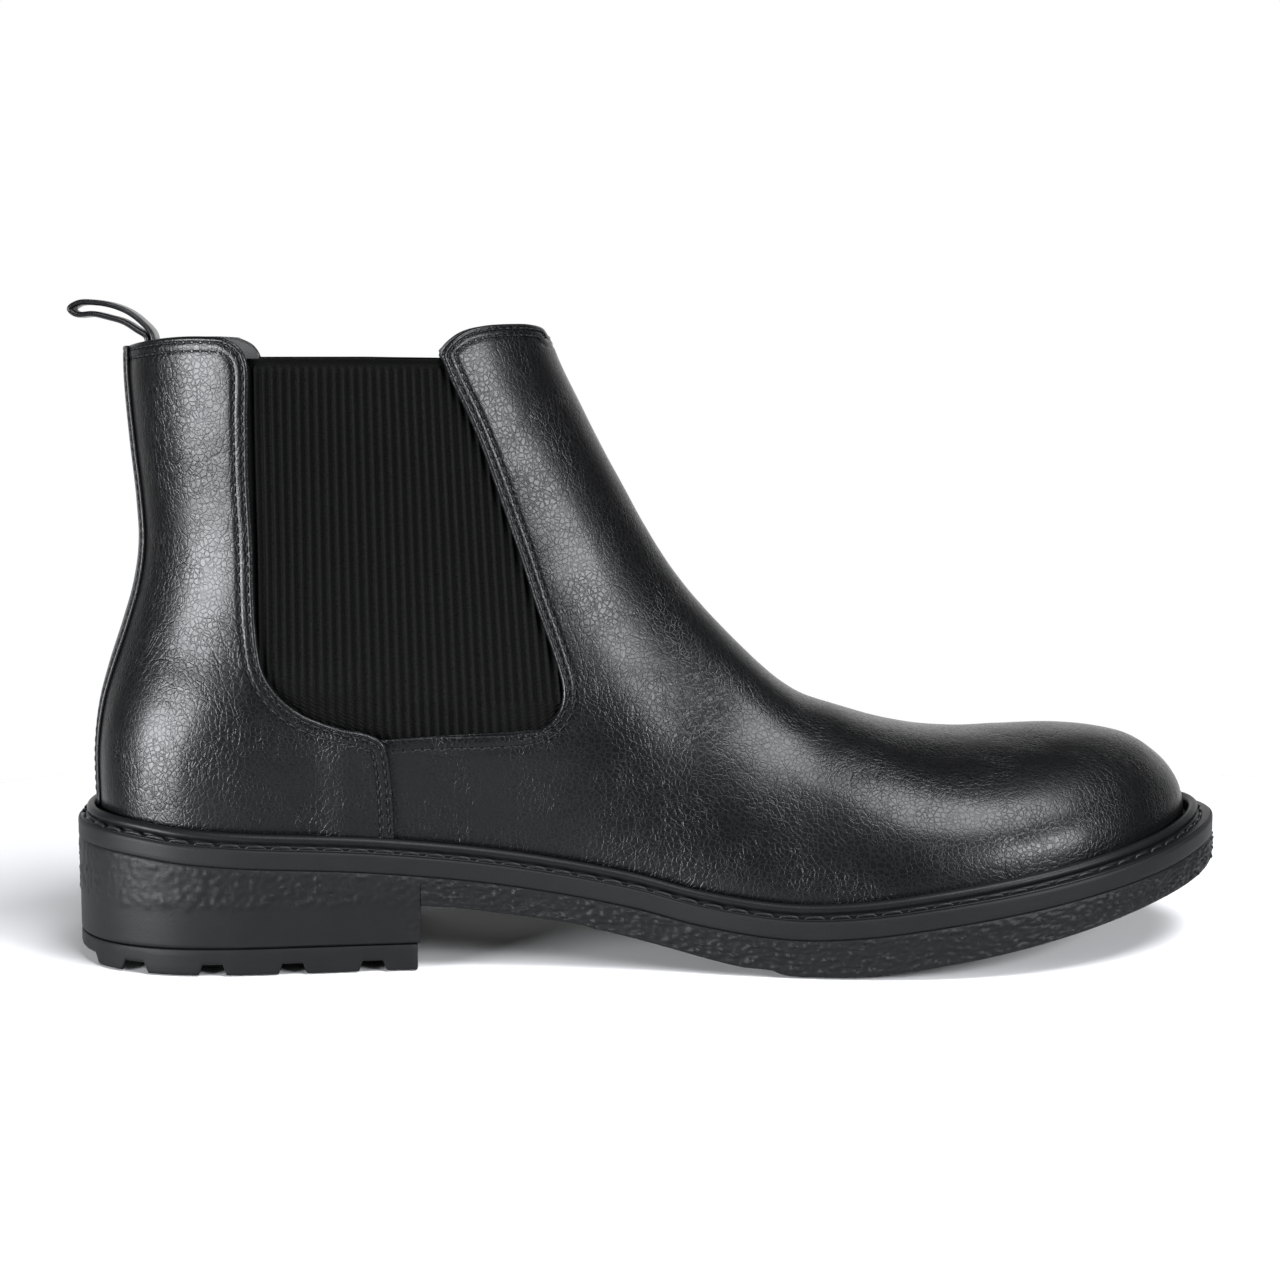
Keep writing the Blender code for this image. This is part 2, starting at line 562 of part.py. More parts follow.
def build_sole():
    rubber = material("sole_rubber", (0.04, 0.041, 0.043), 0.6)
    ground = material("outsole_rubber", (0.035, 0.036, 0.038), 0.75)
    cork = material("cork_filler", (0.45, 0.3, 0.18), 0.9)
    steel = material("shank_steel", (0.6, 0.6, 0.62), 0.35, 1.0)
    board = material("insole_board", (0.42, 0.35, 0.27), 0.85)
    sock = material("insock_textile", (0.06, 0.06, 0.062), 0.9)
    edge = plan_offset(sole_margin(PLAN_LINE[:, 0]))

    slab("midsole", edge, lambda x: wall_z(x) - BAND, wall_z, rubber)

    breast = BREAST * SX

    def under(x):
        return np.where(x < breast + 0.4, LIFT + GAP, under_z(x))

    body = slab("outsole", edge, under, lambda x: wall_z(x) - BAND - GAP, ground, count=56,
                extra=(breast, breast + 0.9, 174.6 * SX, 178.4 * SX))
    tread = []
    for i, x in enumerate(np.arange(186, 262, 12.5) * SX):
        half = np.interp(x / SX, [180, 215, 262], [30, 36, 26]) * SY
        z = under_z(x)
        tread += [(x - 2, -half, z - 6), (x + 2, -half, z - 6), (x + 2, half, z - 6), (x - 2, half, z - 6),
                  (x - 2, -half, z + TREAD_DEPTH), (x + 2, -half, z + TREAD_DEPTH),
                  (x + 2, half, z + TREAD_DEPTH), (x - 2, half, z + TREAD_DEPTH)]
    box = [(0, 3, 2, 1), (4, 5, 6, 7), (0, 1, 5, 4), (1, 2, 6, 5), (2, 3, 7, 6), (3, 0, 4, 7)]
    faces = [tuple(8 * i + k for k in f) for i in range(len(tread) // 8) for f in box]
    cutter = solid("tread_cutter", tread, faces, ground, smooth=False)
    cutter.hide_render = True
    cutter.display_type = "WIRE"
    cut = body.modifiers.new("tread", "BOOLEAN")
    cut.operation, cut.solver, cut.object = "DIFFERENCE", "EXACT", cutter

    centres = np.array([2.5, 16, 36, 56, 76]) * SX
    half = NOTCH_WIDTH / 2
    corners = [c + d for c in centres for d in (-half, -half + 1, half - 1, half)]
    profile = [h for _ in centres for h in (0, NOTCH_DEPTH, NOTCH_DEPTH, 0)]
    profile[0] = profile[1]
    slab("heel_lift", edge, lambda x: np.interp(x, corners, profile), lambda x: x * 0 + LIFT, ground,
         end=breast - 0.6, extra=corners, count=20)

    z0 = 0.3
    slab("bottom_filler", inside(7), lambda x: wall_z(x) + z0, lambda x: wall_z(x) + z0 + FILLER, cork,
         start=172 * SX, end=280 * SX, count=20)
    strip = np.array([
        (52, 0), (53, -6.5), (58, -7.5), (120, -8), (158, -7.5), (163, -6.5),
        (165, 0), (163, 6.5), (158, 7.5), (120, 8), (58, 7.5), (53, 6.5),
    ]) * [SX, SY]
    strip = along(np.concatenate([strip, strip[:1]]), 60)[:-1]
    slab("shank", strip, lambda x: wall_z(x) + z0, lambda x: wall_z(x) + z0 + FILLER - 0.4, steel, count=18)
    z1 = z0 + FILLER + GAP
    slab("insole_board", inside(0), lambda x: wall_z(x) + z1, lambda x: wall_z(x) + z1 + BOARD, board,
         count=34)
    z2 = z1 + BOARD + GAP
    slab("insock", inside(0.9), lambda x: wall_z(x) + z2, lambda x: wall_z(x) + z2 + INSOCK, sock, count=34)


for old in list(bpy.data.objects):
    bpy.data.objects.remove(old)
build_upper()
build_pull_loop()
build_welt()
build_sole()
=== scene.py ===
"""The looks of a black chelsea boot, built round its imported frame.

Lengths inside the classes are millimetres, with x measured forward from the back of the heel and z up
from the ground. Last.to_frame turns them into the frame's metres. The outer side of the boot faces -Y.
"""

import sys
import itertools
import json
import logging
import math
from collections.abc import Callable
from dataclasses import dataclass
from enum import Enum
from functools import cached_property

import bpy
import numpy as np
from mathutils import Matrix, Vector

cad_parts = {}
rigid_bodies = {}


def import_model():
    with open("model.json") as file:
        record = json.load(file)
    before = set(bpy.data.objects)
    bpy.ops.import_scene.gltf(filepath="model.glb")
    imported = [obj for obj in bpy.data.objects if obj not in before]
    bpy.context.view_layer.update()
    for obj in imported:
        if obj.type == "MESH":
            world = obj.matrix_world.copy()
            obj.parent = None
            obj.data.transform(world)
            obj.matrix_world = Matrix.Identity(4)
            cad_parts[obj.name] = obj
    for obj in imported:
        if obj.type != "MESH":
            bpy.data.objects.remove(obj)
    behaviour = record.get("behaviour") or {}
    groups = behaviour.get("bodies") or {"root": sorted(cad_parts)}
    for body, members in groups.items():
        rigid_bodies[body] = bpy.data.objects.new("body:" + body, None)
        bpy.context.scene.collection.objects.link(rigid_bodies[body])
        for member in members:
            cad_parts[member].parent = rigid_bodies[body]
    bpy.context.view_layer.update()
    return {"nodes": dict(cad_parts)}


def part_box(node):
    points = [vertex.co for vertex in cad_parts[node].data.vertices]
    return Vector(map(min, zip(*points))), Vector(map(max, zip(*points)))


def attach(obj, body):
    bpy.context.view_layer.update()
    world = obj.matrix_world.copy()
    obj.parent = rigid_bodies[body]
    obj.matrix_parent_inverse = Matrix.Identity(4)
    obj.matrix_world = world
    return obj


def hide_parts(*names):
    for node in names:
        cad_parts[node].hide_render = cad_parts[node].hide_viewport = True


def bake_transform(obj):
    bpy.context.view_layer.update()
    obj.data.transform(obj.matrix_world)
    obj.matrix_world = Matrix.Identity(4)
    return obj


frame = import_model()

LOG = logging.getLogger("boot")
Array = np.ndarray
Surface = Callable[[Array, Array], Array]

# The curves below are drawn for a boot of these sizes
DRAWN_LENGTH = 302.82
DRAWN_WIDTH = 112.08
DRAWN_HEIGHT = 158.98
DRAWN_START = -0.28  # back of the sole

RIDGE = (
    (122.9, 159.4), (125.8, 152.0), (131, 141.3), (136.2, 131.1), (141.5, 121.1), (146.7, 111.4),
    (152, 102.6), (157.4, 95.1), (162.7, 88.7), (168, 82.9), (173.4, 77.4), (178.8, 72.3),
    (184.2, 67.9), (190, 64.4), (200, 61), (211, 57.7), (222, 55.5), (233, 54.6), (244, 54.7),
    (260, 55), (271, 54), (280, 51.7), (286, 48), (290.4, 43.8), (293.2, 39.4), (294.5, 35.4), (294.8, 30.6),
)
BACK = (
    (14.6, 156.6), (14.7, 148), (15.8, 132.4), (17.2, 117), (17.5, 106.6), (16, 96.2), (12.9, 85.8),
    (9.4, 75.4), (6.6, 65), (5.3, 54.5), (5.3, 44), (5.6, 33),
)
TAB_TOP = (
    (122.9, 159.4), (121.3, 161.3), (117.7, 162.2), (113.2, 162.3), (105.4, 161.7), (100.9, 160.4),
    (97.6, 158.2), (95.5, 156), (94.7, 154),
)
GORE_FRONT = (
    (94.7, 154), (97.6, 147), (101.4, 139.1), (104.7, 131.1), (107.4, 123.4), (114.2, 103.4),
    (118.2, 90.7), (121.9, 80.1), (124.4, 70.6), (123.6, 65.6), (120.6, 61.6), (116, 59.6), (109, 59),
    (97, 58.8), (86, 58.5), (75.3, 57.8),
)
GORE_BACK = (
    (40.8, 158.6), (44.6, 156.6), (46.8, 152.8), (46.8, 138), (46.7, 123.7), (47.2, 108.6), (47.4, 93.4),
    (47.8, 85.7), (49.1, 76.8), (51.4, 72.1), (54.9, 68), (60, 64.4), (68.2, 61.4), (75, 60), (79, 57.8),
    (80.3, 54.5), (81, 49), (81.6, 40),
)
WALL = (
    (-1, 35.4), (8, 35), (17, 34.2), (28, 32.8), (45, 31.4), (67, 30.2), (83, 28.9), (112, 25.5),
    (141, 20.6), (158, 16.6), (180, 13.9), (197, 14.6), (219, 17.6), (247, 21.9), (268, 25.4),
    (281, 27.6), (293, 29.9), (304, 31.6),
)
UNDER = (
    (88, 16.2), (97, 15.6), (108, 14.2), (119, 12.7), (127, 11.5), (134, 9.9), (142, 8.1), (152, 5.6),
    (160, 3.6), (168, 2), (175, 1.5), (178, 0.4), (186, 0.1), (195, 0.3), (203, 1), (211, 2.1),
    (223, 4), (236, 6.4), (248, 8.8), (258, 10.9), (275, 14.6), (290, 17.6), (304, 20.6),
)
PLAN = (
    (5.6, 0), (7.5, -12), (14, -22), (25, -28.6), (40, -31), (58, -30.6), (78, -29.4), (100, -29),
    (125, -31.4), (150, -36.6), (175, -43.4), (200, -48.2), (220, -49.6), (240, -47.6), (258, -41.6),
    (272, -33), (283, -22.4), (291, -10), (294.8, 3), (293, 15), (285, 27.5), (272, 37.6), (256, 44.4),
    (236, 48), (214, 48.4), (190, 44.6), (165, 37.4), (140, 30.6), (115, 27), (90, 27.4), (68, 29.6),
    (45, 31), (25, 28.6), (14, 22), (7.5, 12),
)
SHAFT = ((30, 31.2), (60, 31.4), (80, 30), (100, 29.4), (120, 30.2), (140, 31.6), (160, 32.6))

EDGE_STEPS = (0, 0.12, 0.28, 0.48, 0.72, 1.0, 1.3, 1.6, 1.95, 2.35, 2.75, 3.1, 3.45, 3.85, 4.3, 4.9, 5.7, 6.8)
MM = 1000.0
SLOPE_STEP = 0.2  # over which the face's slopes are taken
HASH_PRIMES = (73856093, 19349663, 83492791)
HASH_STEPS = 1 << 20


class Side(Enum):
    """The two sides of the boot, by the sign of y."""

    LATERAL = -1
    MEDIAL = 1


class Seen(Enum):
    """How a mesh is shaded."""

    SMOOTH = 180
    CREASED = 42


# Curves and noise

def spline(points: tuple, steps: int = 16, closed: bool = False) -> Array:
    """A centripetal Catmull-Rom curve through the points.

    Args:
        points: The points passed through.
        steps: Pieces between two points.
        closed: True if the curve runs back to its start.

    Returns:
        The curve as a dense polyline, one row for each point.
    """
    p = np.array(points, float)
    if closed:
        p = np.concatenate([p[-1:], p, p[:2]])
    else:
        p = np.concatenate([2 * p[:1] - p[1:2], p, 2 * p[-1:] - p[-2:-1]])
    t = np.concatenate([[0], np.cumsum(np.linalg.norm(np.diff(p, axis=0), axis=1) ** 0.5)])
    rows = []
    for i in range(1, len(p) - 2):
        u = np.linspace(t[i], t[i + 1], steps, endpoint=False)[:, None]
        a = [(p[k] * (t[k + 1] - u) + p[k + 1] * (u - t[k])) / (t[k + 1] - t[k]) for k in (i - 1, i, i + 1)]
        b = [(a[k] * (t[i + k + 1] - u) + a[k + 1] * (u - t[i + k - 1])) / (t[i + k + 1] - t[i + k - 1])
             for k in (0, 1)]
        rows.append((b[0] * (t[i + 1] - u) + b[1] * (u - t[i])) / (t[i + 1] - t[i]))
    return np.concatenate(rows + ([] if closed else [p[-2:-1]]))


def arc(line: Array) -> Array:
    """Length run along a polyline at each of its points."""
    return np.concatenate([[0], np.cumsum(np.linalg.norm(np.diff(line, axis=0), axis=1))])


def along(line: Array, at: Array) -> Array:
    """Points of a polyline at the given lengths from its start."""
    s = arc(line)
    return np.stack([np.interp(at, s, line[:, k]) for k in range(line.shape[1])], -1)


def ease(x: Array) -> Array:
    """Smooth step from 0 to 1, 3x^2 - 2x^3."""
    x = np.clip(x, 0, 1)
    return x * x * (3 - 2 * x)


def dome(s: Array, power: float = 2.0) -> Array:
    """Height of a rounded shoulder, the root of 1 - (1 - s)^power, from 0 at its foot to 1."""
    return np.sqrt(np.clip(1 - (1 - np.clip(s, 0, 1)) ** power, 0, 1))


def nearest(x: Array, z: Array, line: Array) -> tuple[Array, Array]:
    """The nearest place on a polyline to each point, by dropping a perpendicular on every piece.

    Args:
        x: First coordinates.
        z: Second coordinates, of the same shape.
        line: The polyline.

    Returns:
        The distances, and the places as piece number plus share of the piece.
    """
    points = np.stack([x, z], -1).reshape(-1, 1, 2)
    a, d = line[:-1], np.diff(line, axis=0)
    size = (d * d).sum(-1)
    gaps, places = [], []
    for p in np.array_split(points, len(points) // 4000 + 1):
        t = np.clip(((p - a) * d).sum(-1) / size, 0, 1)
        gap = ((p - a - t[..., None] * d) ** 2).sum(-1)
        best = gap.argmin(1)
        rows = np.arange(len(p))
        gaps.append(gap[rows, best])
        places.append(best + t[rows, best])
    shape = np.shape(x)
    return np.sqrt(np.concatenate(gaps)).reshape(shape), np.concatenate(places).reshape(shape)


def scatter(*keys: Array, seed: int = 0) -> Array:
    """A repeatable random number from 0 to 1 for each set of whole numbers, by an integer hash.

    Args:
        *keys: Whole numbers that pick the place.
        seed: Which pattern.

    Returns:
        Numbers from 0 to 1.
    """
    h = np.full(np.shape(keys[0]), seed * 2654435761 + 97, np.uint64)
    for key, prime in zip(keys, HASH_PRIMES):
        h = (h ^ (key.astype(np.int64).astype(np.uint64) * np.uint64(prime))) * np.uint64(1099511628211)
        h ^= h >> np.uint64(29)
    return (h % np.uint64(HASH_STEPS)).astype(float) / HASH_STEPS


def value_noise(points: Array, size: float, seed: int) -> Array:
    """Smooth noise from -1 to 1: random numbers on a cubic lattice, blended by an eased weight.

    Args:
        points: Places, the last axis being (x, y, z).
        size: Length of one cell of the pattern.
        seed: Which pattern.

    Returns:
        Numbers from -1 to 1.
    """
    q = points / size
    cell = np.floor(q)
    part = ease(q - cell)
    total = np.zeros(points.shape[:-1])
    for corner in itertools.product((0, 1), repeat=3):
        weight = np.prod(np.where(np.array(corner) == 1, part, 1 - part), -1)
        total += weight * scatter(*np.moveaxis(cell + corner, -1, 0), seed=seed)
    return 2 * total - 1


def lumps(s: Array, z: Array, around: float, size: float, seed: int) -> Array:
    """Rounded lumps over a band, each a dome about a jittered centre, closed round the band.

    Args:
        s: Length along the band.
        z: Height on the band.
        around: Length of the band once round.
        size: Mean distance between lumps.
        seed: Picks the pattern.

    Returns:
        Height from 0 to 1.
    """
    count = round(around / size)
    u, v = s / around * count, z / size
    cu, cv = np.floor(u), np.floor(v)
    high = np.zeros(np.shape(s))
    for du, dv in itertools.product((-1, 0, 1), repeat=2):
        a, b = cu + du, cv + dv
        key = np.mod(a, count)
        pu = a + 0.1 + 0.8 * scatter(key, b, seed=seed)
        pv = b + 0.1 + 0.8 * scatter(key, b, seed=seed + 1)
        reach = 0.45 + 0.4 * scatter(key, b, seed=seed + 2)
        grown = 0.35 + 0.65 * scatter(key, b, seed=seed + 3)
        far = ((u - pu) ** 2 + (v - pv) ** 2) / reach**2
        high = np.maximum(high, grown * np.sqrt(np.clip(1 - far, 0, 1)))
    return high


# The last

@dataclass(frozen=True)
class Last:
    """The foot-shaped body that every sheet of the upper lies on.

    Across its middle plane it has a half width for each place (x, z) in the side view. Low down that is
    the sole's plan times a dome up to the ridge. In the shaft it is the shaft's half width times a dome
    in from the back and one in from the ridge, and between the two it is blended.
    """

    length: float
    width: float
    height: float
    origin_x: float
    dome_back: float = 40.0
    dome_ridge: float = 47.0

    @classmethod
    def from_frame(cls) -> "Last":
        """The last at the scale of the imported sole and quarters.

        Returns:
            The last.
        """
        low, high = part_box("midsole")
        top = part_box("quarter_lateral")[1].z * MM
        length = (high.x - low.x) * MM / DRAWN_LENGTH
        return cls(length, (high.y - low.y) * MM / DRAWN_WIDTH, top / DRAWN_HEIGHT,
                   DRAWN_START * length - low.x * MM)

    @cached_property
    def side_scale(self) -> Array:
        """Scale of side view points."""
        return np.array([self.length, self.height])

    @cached_property
    def ridge(self) -> Array:
        """Line down the front and over the toe."""
        return spline(RIDGE, 10) * self.side_scale

    @cached_property
    def back(self) -> Array:
        """Line down the back."""
        return spline(BACK, 10) * self.side_scale

    @cached_property
    def ridge_on(self) -> Array:
        """The ridge, run on past the topline."""
        return np.concatenate([[[118.6, 170.5] * self.side_scale], self.ridge])

    @cached_property
    def back_on(self) -> Array:
        """The back line, run on past the topline."""
        return np.concatenate([[[14.5, 172.0] * self.side_scale], self.back])

    @cached_property
    def wall(self) -> Array:
        """Top edge of the sole's side wall."""
        return spline(WALL) * self.side_scale

    @cached_property
    def under(self) -> Array:
        """Underside of the sole forward of the heel."""
        return spline(UNDER) * self.side_scale

    @cached_property
    def plan(self) -> Array:
        """Closed outline of the upper where it meets the sole."""
        return spline(PLAN, closed=True) * (self.length, self.width)

    @cached_property
    def shaft(self) -> Array:
        """Half width of the shaft by height."""
        return spline(SHAFT) * (self.height, self.width)

    @cached_property
    def tip_y(self) -> float:
        """How far the toe's tip is from the middle plane."""
        return float(self.plan[self.plan[:, 0].argmax(), 1])

    @cached_property
    def heel_x(self) -> float:
        """The plan's rearmost x."""
        return float(self.plan[:, 0].min())

    @cached_property
    def half_plans(self) -> dict[int, Array]:
        """Each side of the plan as (x, y), heel to toe."""
        return {side.value: side_of(self.plan, side) for side in Side}

    def wall_z(self, x: Array) -> Array:
        """Height of the side wall's top edge."""
        return np.interp(x, self.wall[:, 0], self.wall[:, 1])

    def feather_z(self, x: Array) -> Array:
        """Height of the upper's lower edge."""
        return self.wall_z(x) + 0.4

    def under_z(self, x: Array) -> Array:
        """Height of the sole's underside."""
        return np.interp(x, self.under[:, 0], self.under[:, 1])

    def ridge_z(self, x: Array) -> Array:
        """Height of the ridge at x."""
        return np.interp(x, self.ridge[:, 0], self.ridge[:, 1])

    def back_x(self, z: Array) -> Array:
        """Back line's x at height z."""
        return np.interp(-z, -self.back[:, 1], self.back[:, 0])

    def front_x(self, z: Array) -> Array:
        """Where the ridge passes height z, with no such limit below the instep."""
        shin = self.ridge_on[self.ridge_on[:, 0] < 222 * self.length]
        return np.where(z > shin[-1, 1], np.interp(-z, -shin[:, 1], shin[:, 0]), 1000)

    def middle_y(self, x: Array) -> Array:
        """Middle line of the foot, which bends inwards to the toe's tip."""
        return self.tip_y * ease((x / self.length - 190) / 104)

    def half_plan(self, x: Array, side: Array) -> Array:
        """Distance of the plan's edge from the middle line.

        Args:
            x: Places along the boot.
            side: Which side of the boot.

        Returns:
            Half widths, without sign.
        """
        out, inn = self.half_plans[-1], self.half_plans[1]
        middle = self.middle_y(x)
        outer = middle - np.interp(x, out[:, 0], out[:, 1])
        inner = np.interp(x, inn[:, 0], inn[:, 1]) - middle
        return np.maximum(np.where(side < 0, outer, inner), 0)

    def half_width(self, x: Array, z: Array, side: Array) -> Array:
        """Distance of the outer face from the middle plane at a place in the side view.

        Args:
            x: Lengths from the heel's back.
            z: Heights.
            side: -1 or 1, or an array of them.

        Returns:
            The half widths.
        """
        x, z, side = np.broadcast_arrays(np.asarray(x, float), np.asarray(z, float), side)
        foot = self.feather_z(x)
        shift = (self.back_x(z) - self.heel_x) * (1 - ease((x / self.length - 30) / 80))
        first = self.ridge[0, 0]
        top = np.where(x > first, self.ridge_z(np.maximum(x, first)), 400)
        q = np.clip((top - z) / np.maximum(top - foot, 1e-3), 0, 1)
        low = self.half_plan(np.maximum(x - shift, self.heel_x), side) * dome(q, 2.3)
        share = ease((z - foot - 4) / 46) * (1 - ease((x / self.length - 150) / 60))
        high = np.zeros(x.shape)
        in_shaft = (share > 0) & (x >= self.back_x(z)) & (x <= self.front_x(z))
        xs, zs = x[in_shaft], z[in_shaft]
        high[in_shaft] = (
            np.interp(zs, self.shaft[:, 0], self.shaft[:, 1])
            * dome(nearest(xs, zs, self.back_on)[0] / (self.dome_back * self.length))
            * dome(nearest(xs, zs, self.ridge_on)[0] / (self.dome_ridge * self.length))
        )
        return low * (1 - share) + high * share

    def place(self, x: Array, z: Array, side: Array) -> Array:
        """Points of the outer face, (x, middle + side * half width, z)."""
        return np.stack([x, self.middle_y(x) + side * self.half_width(x, z, side), z], -1)

    def normals(self, points: Array) -> Array:
        """Outward unit normals at points of the outer face.

        The face is where (y - middle)^2 equals the half width squared, so the normal is the gradient of
        their difference, taken by central differences. Near the sole it is laid level.

        Args:
            points: Points on the face.

        Returns:
            Unit normals.
        """
        x, z = points[..., 0], points[..., 2]
        y = points[..., 1] - self.middle_y(x)
        side, h = np.where(y < 0, -1, 1), SLOPE_STEP
        lean = (self.middle_y(x + h) - self.middle_y(x - h)) / (2 * h)
        fall_x = (self.half_width(x - h, z, side) ** 2 - self.half_width(x + h, z, side) ** 2) / (2 * h)
        fall_z = (self.half_width(x, z - h, side) ** 2 - self.half_width(x, z + h, side) ** 2) / (2 * h)
        n = np.stack([fall_x - 2 * y * lean, 2 * y, fall_z], -1)
        n /= np.linalg.norm(n, axis=-1, keepdims=True) + 1e-9
        n[..., 2] *= ease((z - self.feather_z(x)) / 9)
        return n / (np.linalg.norm(n, axis=-1, keepdims=True) + 1e-9)

    def plan_offset(self, amount: Array) -> Array:
        """The upper's plan grown outwards by an amount for each of its points.

        Args:
            amount: How far.

        Returns:
            The grown plan.
        """
        d = np.roll(self.plan, -1, axis=0) - np.roll(self.plan, 1, axis=0)
        n = np.stack([d[:, 1], -d[:, 0]], -1) / np.linalg.norm(d, axis=1)[:, None]
        if (n * (self.plan - self.plan.mean(0))).sum() < 0:
            n = -n
        return self.plan + n * (np.zeros(len(self.plan)) + amount)[:, None]

    def to_frame(self, points: Array) -> Array:
        """Metres in the row frame."""
        return (np.asarray(points, float) - (self.origin_x, 0, 0)) / MM


def side_of(line: Array, side: Side) -> Array:
    """One side of a closed plan, heel to toe.

    Args:
        line: Points of a line.
        side: Which side of the boot.

    Returns:
        The half of the line.
    """
    line = np.roll(line, -line[:, 0].argmin(), axis=0)
    tip = line[:, 0].argmax()
    return line[: tip + 1] if side is Side.LATERAL else np.concatenate([line[tip:], line[:1]])[::-1]


LAST = Last.from_frame()


# Meshes

def grid_faces(index: Array) -> list[list[int]]:
    """Faces between the rows and columns of an index grid. A cell with two equal corners is a triangle.

    Args:
        index: Point numbers in rows and columns.

    Returns:
        Three or four point numbers for each face.
    """
    cells = np.stack([index[:-1, :-1], index[:-1, 1:], index[1:, 1:], index[1:, :-1]], -1).reshape(-1, 4)
    same = cells == np.roll(cells, -1, axis=1)
    pinched = cells[same.sum(1) == 1]
    corners = pinched[~same[same.sum(1) == 1]].reshape(-1, 3)
    return cells[~same.any(1)].tolist() + corners.tolist()


def signed_volume(points: Array, faces: list[list[int]]) -> float:
    """Six times the volume inside closed faces, above 0 if they face out.

    Args:
        points: Places, the last axis being (x, y, z).
        faces: Point numbers of each face.

    Returns:
        The sum over the faces.
    """
    total = 0.0
    for sides in (3, 4):
        some = np.array([f for f in faces if len(f) == sides], int).reshape(-1, sides)
        for k in range(1, sides - 1):
            a, b, c = points[some[:, 0]], points[some[:, k]], points[some[:, k + 1]]
            total += float((a * np.cross(b, c)).sum())
    return total


def make_piece(
    name: str, points: Array, faces: list[list[int]], look: bpy.types.Material, seen: Seen = Seen.SMOOTH,
    seam: Array | None = None,
) -> bpy.types.Object:
    """A mesh object at the origin, in the frame's metres, its closed surface facing outwards.

    Args:
        name: The piece's name.
        points: Points in millimetres.
        faces: Corner numbers of each face.
        look: Its material.
        seen: How it is shaded.
        seam: Two numbers for each point, kept as the UV map "Seam".

    Returns:
        The object.
    """
    points = np.asarray(points, float).reshape(-1, 3)
    if signed_volume(points - points.mean(0), faces) < 0:
        faces = [f[::-1] for f in faces]
    mesh = bpy.data.meshes.new(name)
    mesh.from_pydata(LAST.to_frame(points).tolist(), [], faces)
    mesh.materials.append(look)
    mesh.polygons.foreach_set("use_smooth", np.ones(len(mesh.polygons), bool))
    if seen is Seen.CREASED:
        mesh.set_sharp_from_angle(angle=math.radians(seen.value))
    if seam is not None:
        corner = np.zeros(len(mesh.loops), np.int32)
        mesh.loops.foreach_get("vertex_index", corner)
        layer = mesh.uv_layers.new(name="Seam")
        layer.data.foreach_set("uv", np.asarray(seam, np.float32).reshape(-1, 2)[corner].ravel())
    obj = bpy.data.objects.new(name, mesh)
    bpy.context.scene.collection.objects.link(obj)
    LOG.info("%s: %d faces", name, len(faces))
    return obj


def make_sheet(
    name: str, outer: Array, inner: Array, look: bpy.types.Material, seam: Array | None = None,
) -> bpy.types.Object:
    """A sheet with thickness between two grids of points, closed round its rim.

    Args:
        name: The piece's name.
        outer: Grid of its outer face.
        inner: Grid of its inner face, of the same shape.
        look: Its material.
        seam: Two numbers for each point of one grid, used for both.

    Returns:
        The object.
    """
    rows, cols = outer.shape[:2]
    n = rows * cols
    k = np.arange(n).reshape(rows, cols)
    rim = np.concatenate([k[0, :-1], k[:-1, -1], k[-1, :0:-1], k[:0:-1, 0]])
    after = np.roll(rim, -1)
    walls = np.stack([after, rim, rim + n, after + n], -1).tolist()
    faces = grid_faces(k) + grid_faces(k[:, ::-1] + n) + walls
    points = np.concatenate([outer.reshape(-1, 3), inner.reshape(-1, 3)])
    both = None if seam is None else np.concatenate([seam.reshape(-1, 2)] * 2)
    return make_piece(name, points, faces, look, seam=both)


def make_hoop(name: str, grid: Array, look: bpy.types.Material) -> bpy.types.Object:
    """A closed hoop. The grid's rows run round the hoop and its columns round the section.

    Args:
        name: The piece's name.
        grid: Points in rows, each row closed on itself.
        look: Its material.

    Returns:
        The object.
    """
    k = np.arange(grid.shape[0] * grid.shape[1]).reshape(grid.shape[:2])
    k = np.concatenate([k, k[:1]])
    k = np.concatenate([k, k[:, :1]], 1)
    return make_piece(name, grid, grid_faces(k), look)


def make_strap(name: str, path: Array, section: Array, look: bpy.types.Material) -> bpy.types.Object:
    """A strap: a section of (across, out) points carried along a path in the side view.

    Args:
        name: The piece's name.
        path: (x, z) points.
        section: Closed section, (y, distance to the path's left).
        look: Its material.

    Returns:
        The object.
    """
    d = np.gradient(path, axis=0)
    n = np.stack([-d[:, 1], d[:, 0]], -1) / np.linalg.norm(d, axis=1)[:, None]
    side = path[:, None] + n[:, None] * section[None, :, 1, None]
    grid = np.stack([side[..., 0], np.broadcast_to(section[:, 0], side.shape[:2]), side[..., 1]], -1)
    rows, cols = grid.shape[:2]
    k = np.arange(rows * cols).reshape(rows, cols)
    k = np.concatenate([k, k[:, :1]], 1)
    tips = np.array([grid[0].mean(0), grid[-1].mean(0)])
    last = rows * cols
    ends = [np.stack([row, np.full(cols + 1, last + i)]) for i, row in enumerate((k[0][::-1], k[-1]))]
    faces = grid_faces(k) + grid_faces(ends[0]) + grid_faces(ends[1])
    return make_piece(name, np.concatenate([grid.reshape(-1, 3), tips]), faces, look)


